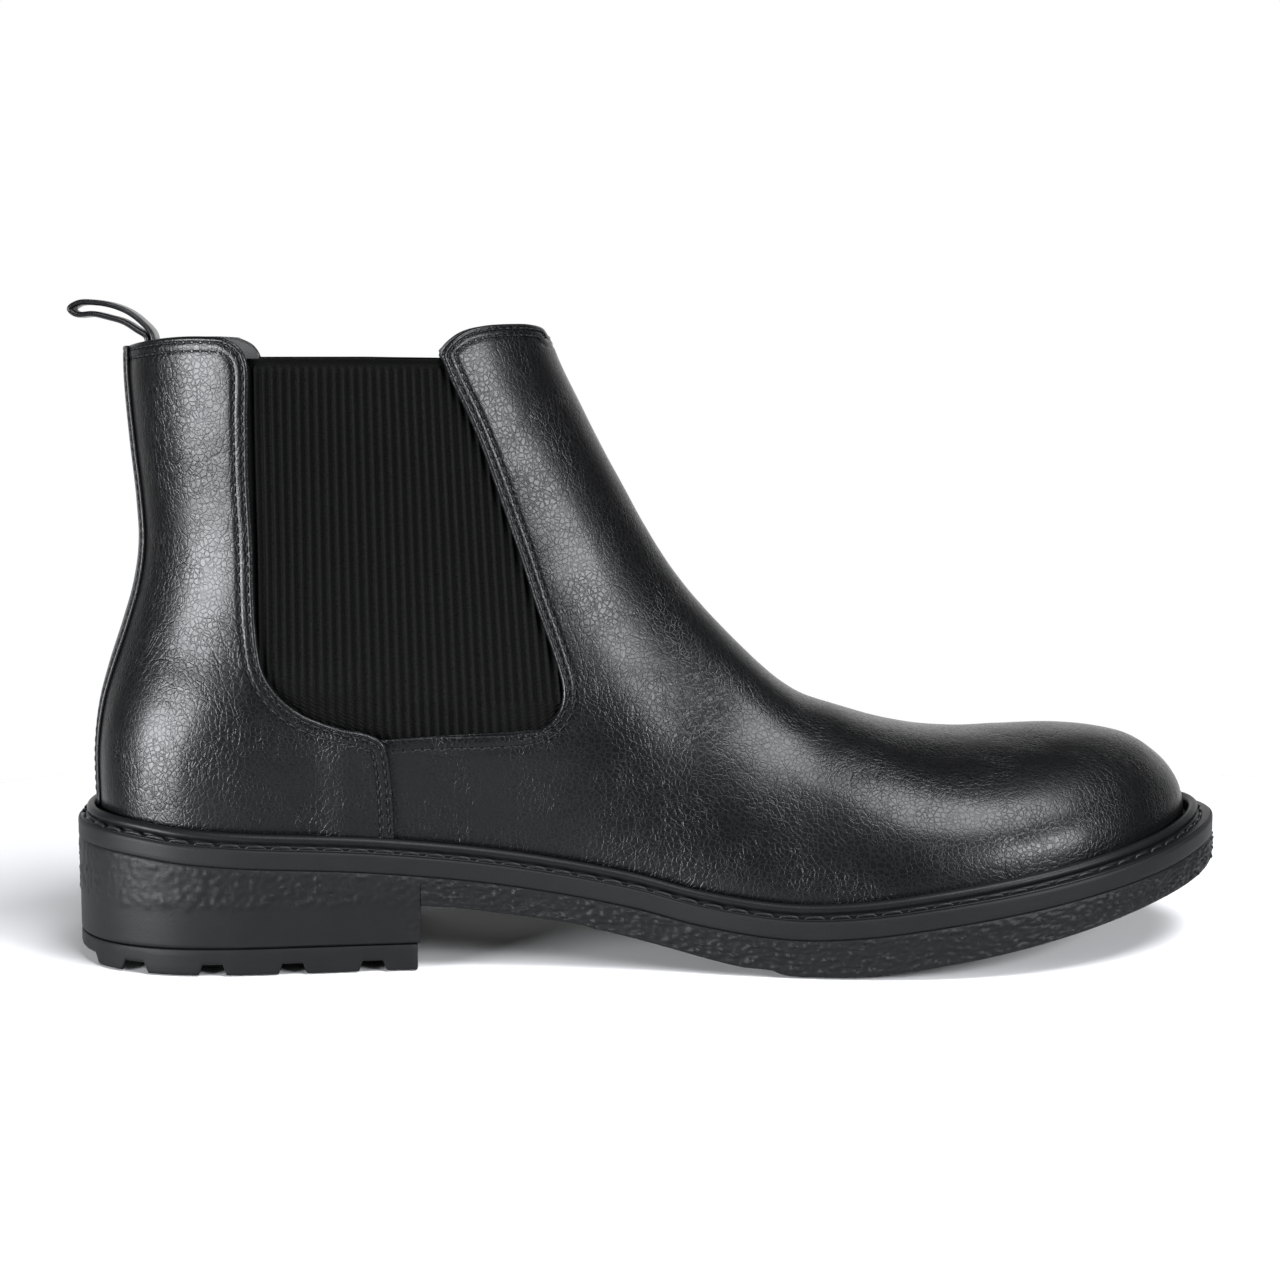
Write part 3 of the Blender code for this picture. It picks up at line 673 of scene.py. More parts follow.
@dataclass(frozen=True)
class Plate:
    """A plate lying in plan, with a side wall of its own and a face above and below.

    The wall's rows go down from the top edge. Row k stands out from the plan by out[k] and lies at a
    share down[k] of the height between the two faces plus drop[k]. The faces run across between the
    two sides at each station along x.
    """

    line: Array
    out: Array
    down: Array
    drop: Array
    pitch: float = 1.2
    across: int = 24
    start: float = -1e3
    end: float = 1e3
    extra: tuple = ()

    @cached_property
    def stations(self) -> Array:
        """Places along x, evenly spaced along the lateral side, with the extra ones.

        Returns:
            The places in order.
        """
        half = side_of(self.line, Side.LATERAL)
        s = arc(half)
        x = np.interp(np.linspace(0, s[-1], int(s[-1] / self.pitch) + 1), s, half[:, 0])
        x = np.unique(np.concatenate([x[(x > self.start) & (x < self.end)],
                                      [max(x[0], self.start), min(x[-1], self.end)]]))
        kept = np.array([e for e in self.extra if x[0] < e < x[-1]])
        if len(kept):
            clear = np.abs(x[:, None] - kept).min(1) > 0.35 * self.pitch
            clear[[0, -1]] = True
            x = np.unique(np.concatenate([x[clear], kept]))
        return x

    @cached_property
    def rim(self) -> Array:
        """The plan as a closed loop of (x, y): the lateral side heel to toe, then the medial side back.

        Returns:
            Its points.
        """
        x = self.stations
        sides = [side_of(self.line, s) for s in Side]
        out, inn = [np.stack([x, np.interp(x, s[:, 0], s[:, 1])], -1) for s in sides]
        closed_back = self.start < x[0]
        closed_front = self.end > x[-1]
        back = inn[::-1][: len(x) - (1 if closed_back else 0)]
        return np.concatenate([out, back[(1 if closed_front else 0):]])

    @cached_property
    def outward(self) -> Array:
        """Unit normals of the loop, in plan.

        Returns:
            Unit directions.
        """
        d = np.roll(self.rim, -1, axis=0) - np.roll(self.rim, 1, axis=0)
        n = np.stack([d[:, 1], -d[:, 0]], -1) / (np.linalg.norm(d, axis=1)[:, None] + 1e-9)
        return n if (n * (self.rim - self.rim.mean(0))).sum() > 0 else -n

    @cached_property
    def length_round(self) -> Array:
        """Length run round the loop at each of its points, and the whole length last."""
        return arc(np.concatenate([self.rim, self.rim[:1]]))

    def build(self, name: str, look: bpy.types.Material, low: Surface, high: Surface,
              relief: Surface | None = None, seen: Seen = Seen.SMOOTH) -> bpy.types.Object:
        """The plate's mesh.

        Args:
            name: The piece's name.
            look: Its material.
            low: Height of the lower face from (x, y).
            high: Height of the upper face from (x, y).
            relief: How far the wall stands out at (length round, point grid), or None.
            seen: How it is shaded.

        Returns:
            The object.
        """
        rim, n = self.rim, self.outward
        top, foot = high(rim[:, 0], rim[:, 1]), low(rim[:, 0], rim[:, 1])
        z = top + (foot - top) * self.down[:, None] + self.drop[:, None]
        flat = rim + n * self.out[:, None, None]
        wall = np.concatenate([flat, z[..., None]], -1)
        if relief is not None:
            s = np.broadcast_to(self.length_round[:-1], z.shape)
            wall[..., :2] += n * relief(s, wall)[..., None]
        rows, loop = z.shape
        k = np.arange(rows * loop).reshape(rows, loop)
        faces = grid_faces(np.concatenate([k, k[:, :1]], 1))
        points = [wall.reshape(-1, 3)]
        used = rows * loop
        count = len(self.stations)
        medial = np.concatenate([[0] if self.start < self.stations[0] else [], np.arange(loop - 1, 0, -1)])
        medial = medial[:count].astype(int)
        for row, face, flip in ((0, high, False), (rows - 1, low, True)):
            a, b = wall[row, :count], wall[row, medial]
            share = np.linspace(0, 1, self.across + 1)[1:-1]
            inside = a[:, None] * (1 - share[:, None]) + b[:, None] * share[:, None]
            x, y = inside[..., 0], inside[..., 1]
            edge = a[:, 2] - face(a[:, 0], a[:, 1])
            inside[..., 2] = face(x, y) + edge[:, None]
            grid = np.full((count, self.across + 1), -1)
            grid[:, 0], grid[:, -1] = k[row, :count], k[row, medial]
            grid[:, 1:-1] = used + np.arange(inside.shape[0] * inside.shape[1]).reshape(inside.shape[:2])
            if self.start < self.stations[0]:
                grid[0] = grid[0, 0]
            if self.end > self.stations[-1]:
                grid[-1] = grid[-1, 0]
            points.append(inside.reshape(-1, 3))
            used += inside.shape[0] * inside.shape[1]
            faces += grid_faces(grid[:, ::-1] if flip else grid)
        points = np.concatenate(points)
        kept, renumbered = np.unique(np.concatenate([np.array(f) for f in faces]), return_inverse=True)
        sizes = np.cumsum([len(f) for f in faces])[:-1]
        faces = [f.tolist() for f in np.split(renumbered, sizes)]
        return make_piece(name, points[kept], faces, look, seen)


# Materials

class Wire:
    """A shader socket's output. Sums and products of wires add Math nodes to its graph."""

    def __init__(self, graph: "Graph", socket: bpy.types.NodeSocket) -> None:
        """Keeps the graph and the socket."""
        self.graph, self.socket = graph, socket

    def maths(self, operation: str, *others: "Wire | float") -> "Wire":
        """One Math node on this wire and the others."""
        return self.graph.node("ShaderNodeMath", {"operation": operation}, dict(enumerate((self, *others))))

    def __add__(self, other: "Wire | float") -> "Wire":
        """Sum."""
        return self.maths("ADD", other)

    def __sub__(self, other: "Wire | float") -> "Wire":
        """Difference."""
        return self.maths("SUBTRACT", other)

    def __mul__(self, other: "Wire | float") -> "Wire":
        """Product."""
        return self.maths("MULTIPLY", other)

    def __truediv__(self, other: "Wire | float") -> "Wire":
        """Quotient."""
        return self.maths("DIVIDE", other)

    def __rsub__(self, other: float) -> "Wire":
        """A number less this wire."""
        return self.graph.node("ShaderNodeMath", {"operation": "SUBTRACT"}, {0: other, 1: self})

    __radd__ = __add__
    __rmul__ = __mul__


class Graph:
    """A material's nodes, ending in one Principled shader."""

    def __init__(self, name: str) -> None:
        """Makes the material with its shader and nothing else.

        Args:
            name: The piece's name.
        """
        self.material = bpy.data.materials.new(name)
        self.material.use_nodes = True
        self.tree = self.material.node_tree
        self.shader = self.tree.nodes["Principled BSDF"]

    def node(self, kind: str, settings: dict | None = None, values: dict | None = None,
             out: int | str = 0) -> Wire:
        """Any one node.

        Args:
            kind: The node's type.
            settings: Its properties, set first. A ramp's stops are given as "stops".
            values: Numbers or wires by input number or name.
            out: The output taken.

        Returns:
            The wire from that output.
        """
        made = self.tree.nodes.new(kind)
        for key, value in (settings or {}).items():
            setattr(made, key, value)
        for key, value in (values or {}).items():
            self.feed(made.inputs[key], value)
        return Wire(self, made.outputs[out])

    def feed(self, socket: bpy.types.NodeSocket, value: "Wire | float | tuple") -> None:
        """Links a wire to a socket, or sets the socket's number.

        Args:
            socket: The node's input.
            value: A number, a colour or a wire.
        """
        if isinstance(value, Wire):
            self.tree.links.new(value.socket, socket)
        else:
            socket.default_value = value

    def place(self, stretch: tuple = (1, 1, 1), turn: tuple = (0, 0, 0)) -> Wire:
        """Object coordinates in millimetres, turned and stretched.

        Args:
            stretch: Scale of each axis.
            turn: Turn about each axis.

        Returns:
            The coordinates.
        """
        where = self.node("ShaderNodeTexCoord", out="Object")
        return self.node("ShaderNodeMapping", None,
                         {"Vector": where, "Rotation": turn, "Scale": tuple(MM * s for s in stretch)})

    def noise(self, at: Wire, size: float, detail: float = 2, rough: float = 0.5) -> Wire:
        """Cloudy noise from 0 to 1 with spots of the given size."""
        return self.node("ShaderNodeTexNoise", None,
                         {"Vector": at, "Scale": 1 / size, "Detail": detail, "Roughness": rough}, "Fac")

    def bent(self, at: Wire, size: float, amount: float) -> Wire:
        """Coordinates pushed about by noise.

        Args:
            at: The coordinates to bend.
            size: Length of one cell of the pattern.
            amount: How far.

        Returns:
            The bent coordinates.
        """
        push = self.node("ShaderNodeTexNoise", None,
                         {"Vector": at, "Scale": 1 / size, "Detail": 1.0}, "Color")
        centred = self.node("ShaderNodeVectorMath", {"operation": "SUBTRACT"}, {0: push, 1: (0.5, 0.5, 0.5)})
        scaled = self.node("ShaderNodeVectorMath", {"operation": "SCALE"}, {0: centred, "Scale": amount})
        return self.node("ShaderNodeVectorMath", {"operation": "ADD"}, {0: at, 1: scaled})

    def cracks(self, at: Wire, size: float) -> Wire:
        """Distance from the edges of irregular cells, 0 on an edge."""
        return self.node("ShaderNodeTexVoronoi", {"feature": "DISTANCE_TO_EDGE"},
                         {"Vector": at, "Scale": 1 / size}, "Distance")

    def cells(self, at: Wire, size: float) -> Wire:
        """Distance from the centres of irregular cells."""
        return self.node("ShaderNodeTexVoronoi", {"feature": "F1"},
                         {"Vector": at, "Scale": 1 / size}, "Distance")

    def ramp(self, value: Wire, low: float, high: float, start: float = 0, end: float = 1) -> Wire:
        """Eases from start to end as a value goes from low to high."""
        return self.node("ShaderNodeMapRange", {"interpolation_type": "SMOOTHSTEP"},
                         {0: value, 1: low, 2: high, 3: start, 4: end})

    def blend(self, share: Wire | float, first: tuple | Wire, second: tuple | Wire) -> Wire:
        """A colour between two colours."""
        return self.node("ShaderNodeMix", {"data_type": "RGBA"}, {0: share, 6: first, 7: second}, 2)

    def axis(self, vector: Wire, which: int) -> Wire:
        """One coordinate of a vector."""
        return self.node("ShaderNodeSeparateXYZ", None, {0: vector}, which)

    def dress(self, colour: Wire | tuple, roughness: Wire | float, height: Wire | None = None,
              **constants: float) -> bpy.types.Material:
        """Feeds the shader.

        Args:
            colour: Base colour.
            roughness: Roughness.
            height: Relief in millimetres, fed through a Bump node.
            constants: Plain numbers for other sockets, with _ for a space.

        Returns:
            The material.
        """
        self.feed(self.shader.inputs["Base Color"], colour)
        self.feed(self.shader.inputs["Roughness"], roughness)
        for key, value in constants.items():
            self.feed(self.shader.inputs[key.replace("_", " ")], value)
        if height is not None:
            bump = self.node("ShaderNodeBump", None,
                             {"Strength": 1.0, "Distance": 1 / MM, "Height": height}, "Normal")
            self.feed(self.shader.inputs["Normal"], bump)
        return self.material


def grey(value: float, tint: tuple = (0.96, 0.98, 1.06)) -> tuple:
    """A slightly cool dark grey as RGBA."""
    return (*(value * t for t in tint), 1.0)


@dataclass(frozen=True)
class Leather:
    """Finished black leather: fine creased grain, soft undulation, stitch holes along its seams with painted
    shade in them, and an edge band lightened as wear and as a painted highlight.
    """

    name: str
    shade: float = 0.0020
    gloss: float = 0.27
    grain: float = 1.35
    crease: float = 0.075
    rows: tuple = (1.35, 3.3)
    stitch: float = 2.5
    first_row_end: float = 1e4

    def seam_holes(self, g: Graph) -> tuple[Wire, Wire]:
        """Where the needle holes are, and the band along the edge that is lightened as edge wear and as a
        painted highlight of the rolled edge, from the Seam map's (length, distance).

        Args:
            g: The material's graph.

        Returns:
            Both as wires from 0 to 1.
        """
        seam = g.node("ShaderNodeUVMap", {"uv_map": "Seam"})
        run, inset = g.axis(seam, 0), g.axis(seam, 1)
        beat = (run / self.stitch + 0.5).maths("FRACT")
        hole_along = g.ramp((beat - 0.5).maths("ABSOLUTE"), 0.08, 0.22, 1, 0)
        total = None
        for i, row in enumerate(self.rows):
            hole = g.ramp((inset - row).maths("ABSOLUTE"), 0.16, 0.42, 1, 0) * hole_along
            if i == 0:
                hole = hole * g.ramp(run, self.first_row_end, self.first_row_end + 0.5, 1, 0)
            total = hole if total is None else total.maths("MAXIMUM", hole)
        # The second mask is the band along the edge, lightened in make() as edge wear and as a painted
        # highlight of the rolled edge.
        return total, g.ramp(inset, 0.25, 1.0, 1, 0)

    def make(self) -> bpy.types.Material:
        """The material.

        Returns:
            The material.
        """
        g = Graph(self.name)
        at = g.place()
        loose = g.bent(at, 3.0, 1.6)
        broad = g.noise(at, 22.0, 3)
        amount = g.ramp(g.noise(at, 14.0, 2), 0.35, 0.7, 0.35, 1.0)
        small = g.ramp(g.cracks(loose, self.grain), 0.0, 0.16, 1, 0)
        large = g.ramp(g.cracks(g.bent(g.place((1, 1, 0.7)), 5.0, 3.0), self.grain * 3.1), 0.0, 0.07, 1, 0)
        fine = g.noise(at, 0.55, 3, 0.6)
        wave = g.noise(loose, 4.5, 2)
        holes, edge_wear_and_highlight = self.seam_holes(g)
        height = fine * 0.012 + wave * 0.07
        height = height - (small * 0.7 + large * 0.6) * amount * self.crease - holes * 0.3
        colour = g.blend(broad, grey(self.shade * 0.8), grey(self.shade * 1.25))
        # Lighter band along the edge: part edge wear, part painted highlight of the rolled edge.
        colour = g.blend(edge_wear_and_highlight * 0.15, colour, grey(self.shade * 2.6))
        # Near-black needle holes: painted shade in the holes, on top of their real dent in the height.
        colour = g.blend(holes, colour, grey(0.001))
        rough = broad * 0.10 + (self.gloss - 0.05) + small * 0.10 + fine * 0.06
        return g.dress(colour, rough, height, Specular_IOR_Level=0.16, Coat_Weight=0.05, Coat_Roughness=0.2)


@dataclass(frozen=True)
class Elastic:
    """Ribbed elastic webbing: matt dark cord whose colour darkens into the valleys between the ribs as
    painted shade, and lighter specks on the rib tops as a painted fine sparkle of thread.
    """

    name: str = "black_elastic_webbing"
    shade: float = 0.0014

    def make(self) -> bpy.types.Material:
        """The material.

        Returns:
            The material.
        """
        g = Graph(self.name)
        rib = g.axis(g.node("ShaderNodeUVMap", {"uv_map": "Seam"}), 0)
        weft = g.noise(g.place((1.0, 1.0, 3.0)), 0.8, 2)
        fleck_bump_and_sparkle = g.ramp(g.cells(g.place((1, 1, 1.6)), 0.75), 0.12, 0.42, 1, 0)
        # Rib tops against valleys: the colour darkens into the valleys as painted shade.
        top = g.ramp(rib, 0.15, 0.8)
        colour = g.blend(top, grey(self.shade * 0.18, (1, 1, 1)), grey(self.shade, (1, 1, 1.02)))
        # Lighter specks on the rib tops only: a painted sparkle; the same specks also give a real bump.
        colour = g.blend(fleck_bump_and_sparkle * top * 0.45, colour, grey(self.shade * 3.2))
        return g.dress(colour, weft * 0.2 + 0.58, weft * 0.12 + fleck_bump_and_sparkle * 0.10, Specular_IOR_Level=0.05)


@dataclass(frozen=True)
class Rubber:
    """Moulded rubber: matt, slightly streaked along the wall, with a fine blasted texture."""

    name: str
    shade: float = 0.024
    rough: float = 0.52
    streak: float = 0.25
    texture: float = 0.03
    grain: float = 0.45

    def make(self) -> bpy.types.Material:
        """The material.

        Returns:
            The material.
        """
        g = Graph(self.name)
        at = g.place()
        streak = g.noise(g.place((0.08, 0.08, 1.0)), 0.9, 3)
        cloud = g.noise(at, 9.0, 3)
        fine = g.noise(at, self.grain, 3, 0.65)
        colour = g.blend(cloud, grey(self.shade * 0.8), grey(self.shade * 1.2))
        colour = g.blend(streak * self.streak, colour, grey(self.shade * 1.8))
        rough = fine * 0.16 + (self.rough - 0.08) + cloud * 0.06
        relief = fine * self.texture + streak * self.streak * 0.06
        return g.dress(colour, rough, relief, Specular_IOR_Level=0.10)


@dataclass(frozen=True)
class Textile:
    """Woven or knitted cloth of fine yarn: two crossed sets of threads with fuzz."""

    name: str
    shade: float = 0.03
    yarn: float = 0.7
    tint: tuple = (1.0, 1.0, 1.02)

    def make(self) -> bpy.types.Material:
        """The material.

        Returns:
            The material.
        """
        g = Graph(self.name)
        at = g.bent(g.place(), 1.5, 0.12)
        turn = 2 * math.pi / self.yarn
        x, y, z = (g.axis(at, k) for k in range(3))
        warp = ((x + y) * turn).maths("SINE")
        weft = (z * turn).maths("SINE")
        fuzz = g.noise(at, 0.35, 3)
        weave = warp * weft * 0.5 + 0.5
        dark, light = grey(self.shade * 0.5, self.tint), grey(self.shade * 1.4, self.tint)
        colour = g.blend(weave * 0.6 + fuzz * 0.4, dark, light)
        return g.dress(colour, fuzz * 0.15 + 0.8, weave * 0.08 + fuzz * 0.05, Sheen_Weight=0.15)


@dataclass(frozen=True)
class Thread:
    """Waxed twisted sewing thread."""

    name: str
    shade: float = 0.006
    rough: float = 0.42

    def make(self) -> bpy.types.Material:
        """The material.

        Returns:
            The material.
        """
        g = Graph(self.name)
        ply = g.noise(g.place((1, 1, 1), (0.6, 0.4, 0.8)), 0.25, 1)
        colour = g.blend(ply, grey(self.shade * 0.6), grey(self.shade * 1.5))
        return g.dress(colour, ply * 0.15 + self.rough - 0.07, ply * 0.05, Specular_IOR_Level=0.12)


@dataclass(frozen=True)
class Board:
    """Pressed fibre, cork or brushed metal inside the sole, by colour, spot size and metal share."""

    name: str
    dark: tuple
    light: tuple
    spot: float
    rough: float = 0.8
    metal: float = 0.0
    stretch: tuple = (1, 1, 1)

    def make(self) -> bpy.types.Material:
        """The material.

        Returns:
            The material.
        """
        g = Graph(self.name)
        at = g.place(self.stretch)
        spots = g.ramp(g.cells(at, self.spot), 0.1, 0.7)
        fibre = g.noise(at, self.spot * 0.4, 4)
        colour = g.blend(spots * 0.5 + fibre * 0.5, (*self.dark, 1), (*self.light, 1))
        return g.dress(colour, fibre * 0.15 + self.rough - 0.07, fibre * 0.08, Metallic=self.metal)


# Seams

@dataclass(frozen=True)
class Seam:
    """An edge of a sheet, as a line in the side view, from which stitch rows are laid.

    turn is 1 if the sheet lies to the left of the line as it runs, and -1 if to its right.
    """

    line: Array
    side: Side
    turn: int

    @cached_property
    def run(self) -> Array:
        """Length run along the edge, measured on the curved face."""
        return arc(LAST.place(self.line[:, 0], self.line[:, 1], self.side.value))

    @cached_property
    def inward(self) -> Array:
        """Unit normals of the line in the side view, towards the sheet."""
        d = np.gradient(self.line, axis=0)
        return self.turn * np.stack([-d[:, 1], d[:, 0]], -1) / np.linalg.norm(d, axis=1)[:, None]

    def measure(self, x: Array, z: Array) -> Array:
        """(length along the edge, distance from it) at places in the side view."""
        inset, place = nearest(x, z, self.line)
        return np.stack([np.interp(place, np.arange(len(self.run)), self.run), inset], -1)

    def row(self, inset: float, pitch: float, start: float = 0.0, end: float = 1e4) -> tuple[Array, Array]:
        """Where each stitch of a row begins and ends on the outer face.

        Args:
            inset: Distance of the row from the edge.
            pitch: Length from one needle hole to the next.
            start: Length along the edge where the row begins.
            end: Length where it ends.

        Returns:
            The two ends of each stitch, as (count, 2, 3), and the unit normals at their middles.
        """
        end = min(end, self.run[-1])
        holes = np.arange(math.ceil(start / pitch), math.floor(end / pitch) + 1) * pitch
        moved = self.line + self.inward * inset
        x, z = (np.interp(holes, self.run, moved[:, k]) for k in (0, 1))
        points = LAST.place(x, z, self.side.value)
        ends = np.stack([points[:-1], points[1:]], 1)
        return ends, LAST.normals(ends.mean(1))


@dataclass(frozen=True)
class Stitches:
    """Sewing stitches, each a short bent capsule lying between two needle holes."""

    radius: float = 0.24
    fill: float = 0.86
    stand: float = 0.10
    sides: int = 6

    def build(self, name: str, runs: list[tuple[Array, Array]], look: bpy.types.Material) -> bpy.types.Object:
        """All stitches of some rows as one mesh.

        The middle line of a stitch bends as stand + radius * (1 - t^4) - dip * t^6 over the face for t
        from -1 to 1, and its radius falls off as the root of 1 - t^6.

        Args:
            name: The piece's name.
            runs: For each row, the ends of its stitches and their normals.
            look: Their material.

        Returns:
            The object.
        """
        ends = np.concatenate([r[0] for r in runs])
        up = np.concatenate([r[1] for r in runs])
        t = np.array([-0.92, -0.6, 0.0, 0.6, 0.92])
        half = (ends[:, 1] - ends[:, 0]) / 2 * self.fill
        across = np.cross(up, half)
        across /= np.linalg.norm(across, axis=1)[:, None] + 1e-9
        rise = self.stand - 2.4 * self.radius * np.abs(t) ** 5
        middle = ends.mean(1)[:, None] + half[:, None] * t[:, None] + up[:, None] * rise[:, None]
        angle = np.arange(self.sides) * 2 * math.pi / self.sides
        thick = self.radius * np.sqrt(1 - t**6)
        ring = across[:, None] * np.cos(angle)[:, None] + up[:, None] * np.sin(angle)[:, None]
        body = middle[:, :, None] + ring[:, None] * thick[:, None, None]
        dive = up * (self.stand - 2.4 * self.radius)
        tips = np.stack([ends.mean(1) - half + dive, ends.mean(1) + half + dive], 1)
        points = np.concatenate([body.reshape(len(ends), -1, 3), tips], 1)
        n = len(t) * self.sides
        k = np.arange(n).reshape(len(t), self.sides)
        k = np.concatenate([np.full((1, self.sides), n), k, np.full((1, self.sides), n + 1)])
        k = np.concatenate([k, k[:, :1]], 1)
        one = grid_faces(k)
        faces = [[c + i * (n + 2) for c in f] for i in range(len(ends)) for f in one]
        return make_piece(name, points, faces, look)


@dataclass(frozen=True)
class SheetShape:
    """Relief of a leather sheet: its rolled edge, the furrows of its stitch rows and its soft unevenness."""

    thick: float = 1.4
    roll: float = 0.95
    furrow: float = 0.2
    rows: tuple = (1.35, 3.3)
    uneven: float = 0.10

    def depths(self, points: Array, inset: Array, seed: int) -> tuple[Array, Array]:
        """How deep the sheet's two faces lie inside the last's face.

        The outer face drops by half the thickness as a quarter circle over the rolled edge, swells
        between the stitch rows, and sinks by a bell curve at each row.

        Args:
            points: Grid of points.
            inset: Distance of each from the edge.
            seed: Picks the unevenness.

        Returns:
            Depths of the outer and inner faces.
        """
        edge = 1 - np.sqrt(np.clip(1 - np.clip(1 - inset / self.roll, 0, 1) ** 2, 0, 1))
        outer = 0.62 * self.thick * edge
        for row in self.rows:
            outer = outer + self.furrow * np.exp(-(((inset - row) / 0.42) ** 2))
        calm = ease((inset - 0.6) / 5)
        outer = outer - self.uneven * calm * value_noise(points, 13.0, seed)
        outer = outer - 0.35 * self.uneven * calm * value_noise(points, 4.5, seed + 1)
        inner = self.thick - 0.3 * self.thick * edge
        return outer, inner


def sink(points: Array, normals: Array, depth: Array) -> Array:
    """Points moved inside the face by a depth, and never below the upper's lower edge.

    Args:
        points: Places, the last axis being (x, y, z).
        normals: Outward directions at those places.
        depth: How far in, below 0 for out.

    Returns:
        The moved places.
    """
    moved = points - normals * np.asarray(depth)[..., None]
    moved[..., 2] = np.maximum(moved[..., 2], LAST.feather_z(moved[..., 0]))
    return moved


def columns(count: int, reach: float) -> tuple[Array, Array]:
    """Column places from a fold to an edge: shares of the coarse part, and distances of the fine part.

    Args:
        count: How many coarse steps.
        reach: The longest distance from the edge that is wanted.

    Returns:
        The shares, and the distances from the far one to the edge.
    """
    coarse = 1 - np.cos(np.linspace(0, 1, count + 1) * math.pi / 2)
    fine = np.array([s for s in EDGE_STEPS if s <= reach])[::-1]
    return coarse, fine


def chord_shares(length: Array, count: int) -> Array:
    """Shares along each chord, coarse and then fine towards its far end, one row for each chord.

    Args:
        length: Length of each chord.
        count: How many coarse steps.

    Returns:
        Shares from 0 to 1.
    """
    coarse, fine = columns(count, EDGE_STEPS[-1])
    reach = np.maximum(1 - 1.25 * EDGE_STEPS[-1] / length, 0.3)[:, None]
    near = 1 - np.minimum(fine[None], length[:, None] * 0.68 * fine[None] / EDGE_STEPS[-1]) / length[:, None]
    return np.concatenate([coarse[None] * reach, near], 1)


# The upper

FRONT_LINES = (  # x on the ridge, and the edge place its line runs to
    (122.9, (94.7, 154.0)), (128.4, (97.9, 146.2)), (136.4, (103.3, 134.5)), (145, (110, 115.8)),
    (153, (116.4, 96.4)), (159, (121.7, 80.7)), (162.7, (124.4, 70.6)), (171.5, (121.9, 62.7)),
    (178, (116, 59.6)), (190, (97, 58.8)), (200, (75.3, 57.8)), (205, (75.3, 42.0)), (208.5, (76.0, 39.0)),
)
FOOT_LINES = (  # x on the ridge, x on the lower edge
    (212, 78.5), (219, 104), (228, 136), (237, 166), (247, 194), (257, 216), (266.5, 236), (275, 254),
    (283, 269), (289.6, 280), (294.8, 288.5),
)
HINGE_RIDGE = (162.7, 88.7)
HINGE_EDGE = (124.4, 70.6)


@dataclass(frozen=True)
class FrontGrid:
    """Places on the front of the upper: lines run from the ridge down to its edge on either side."""

    row_pitch: float = 1.6
    half_columns: int = 52
    tab_blend: float = 9.0
    trim: float = 0.0
    lower: float = 0.0

    @cached_property
    def edge(self) -> Array:
        """The whole edge: down the gore, back over the wing, down it, and forward along the sole.

        Returns:
            Its points.
        """
        x = np.arange(78.5, 288.6, 1.0) * LAST.length
        wing = np.array([(75.3, 42.0), (76.0, 39.0)]) * LAST.side_scale
        foot = np.stack([x, LAST.feather_z(x)], -1)
        return np.concatenate([spline(GORE_FRONT) * LAST.side_scale, wing, foot])

    @cached_property
    def seam_line(self) -> Array:
        """The edge that shows, from the ridge round the tab and down to the wing."""
        tab = spline(TAB_TOP) * LAST.side_scale
        return np.concatenate([tab[:-1], spline(GORE_FRONT) * LAST.side_scale])

    def lines(self) -> tuple[Array, Array, Array]:
        """Ridge end, edge end and distance from the top of every line, as three arrays.

        Returns:
            The three arrays.
        """
        ends = [(*e,) for _, e in FRONT_LINES]
        ends += [(x, float(LAST.feather_z(x * LAST.length)) / LAST.height) for _, x in FOOT_LINES]
        ends = np.array(ends) * LAST.side_scale
        run = arc(self.edge)
        knots = np.interp(nearest(ends[:, 0], ends[:, 1], self.edge)[1], np.arange(len(run)), run)
        ridge_run = arc(LAST.ridge)
        ridge_x = np.array([x for x, _ in FRONT_LINES + FOOT_LINES]) * LAST.length
        ridge_knots = np.interp(ridge_x, LAST.ridge[:, 0], ridge_run)
        ridge_knots[-1] = ridge_run[-1]
        travel = np.concatenate([[0], np.cumsum(np.maximum(np.diff(knots), np.diff(ridge_knots)))])
        fine = np.array(EDGE_STEPS)
        rest = np.linspace(8.0, travel[-1], int((travel[-1] - 8.0) / self.row_pitch))
        at = np.concatenate([fine, rest])
        ridge = along(LAST.ridge, np.interp(at, travel, ridge_knots))
        edge = along(self.edge, np.interp(at, travel, knots))
        ridge[-1, 1] = edge[-1, 1] = LAST.feather_z(ridge[-1, 0])
        edge[-1, 1] = LAST.feather_z(edge[-1, 0])
        return ridge, edge, at

    def half(self, side: Side) -> Array:
        """Points of one half, with the ridge in column 0. z = chord + arch, the arch fading down the tab.

        Args:
            side: Which side of the boot.

        Returns:
            A grid of points.
        """
        ridge, edge, at = self.lines()
        length = np.linalg.norm(edge - ridge, axis=1)
        share = chord_shares(length, self.half_columns) * (1 - self.trim / length)[:, None]
        x = ridge[:, :1] * (1 - share) + edge[:, :1] * share
        z = ridge[:, 1:] * (1 - share) + edge[:, 1:] * share
        tab = spline(TAB_TOP)[::-1] * LAST.side_scale
        top_x = ridge[0, 0] * (1 - share) + edge[0, 0] * share
        chord = ridge[0, 1] * (1 - share) + edge[0, 1] * share
        arch = np.interp(top_x, tab[:, 0], tab[:, 1]) - chord
        z = z + arch * (1 - ease(at / self.tab_blend))[:, None] - self.lower * (1 - ease(at / 20))[:, None]
        points = LAST.place(x, z, side.value)
        points[:, 0] = np.stack([x[:, 0], LAST.middle_y(x[:, 0]), z[:, 0]], -1)
        return points

    def whole(self) -> Array:
        """Points from the lateral edge over the ridge to the medial edge."""
        return np.concatenate([self.half(Side.LATERAL)[:, ::-1], self.half(Side.MEDIAL)[:, 1:]], 1)


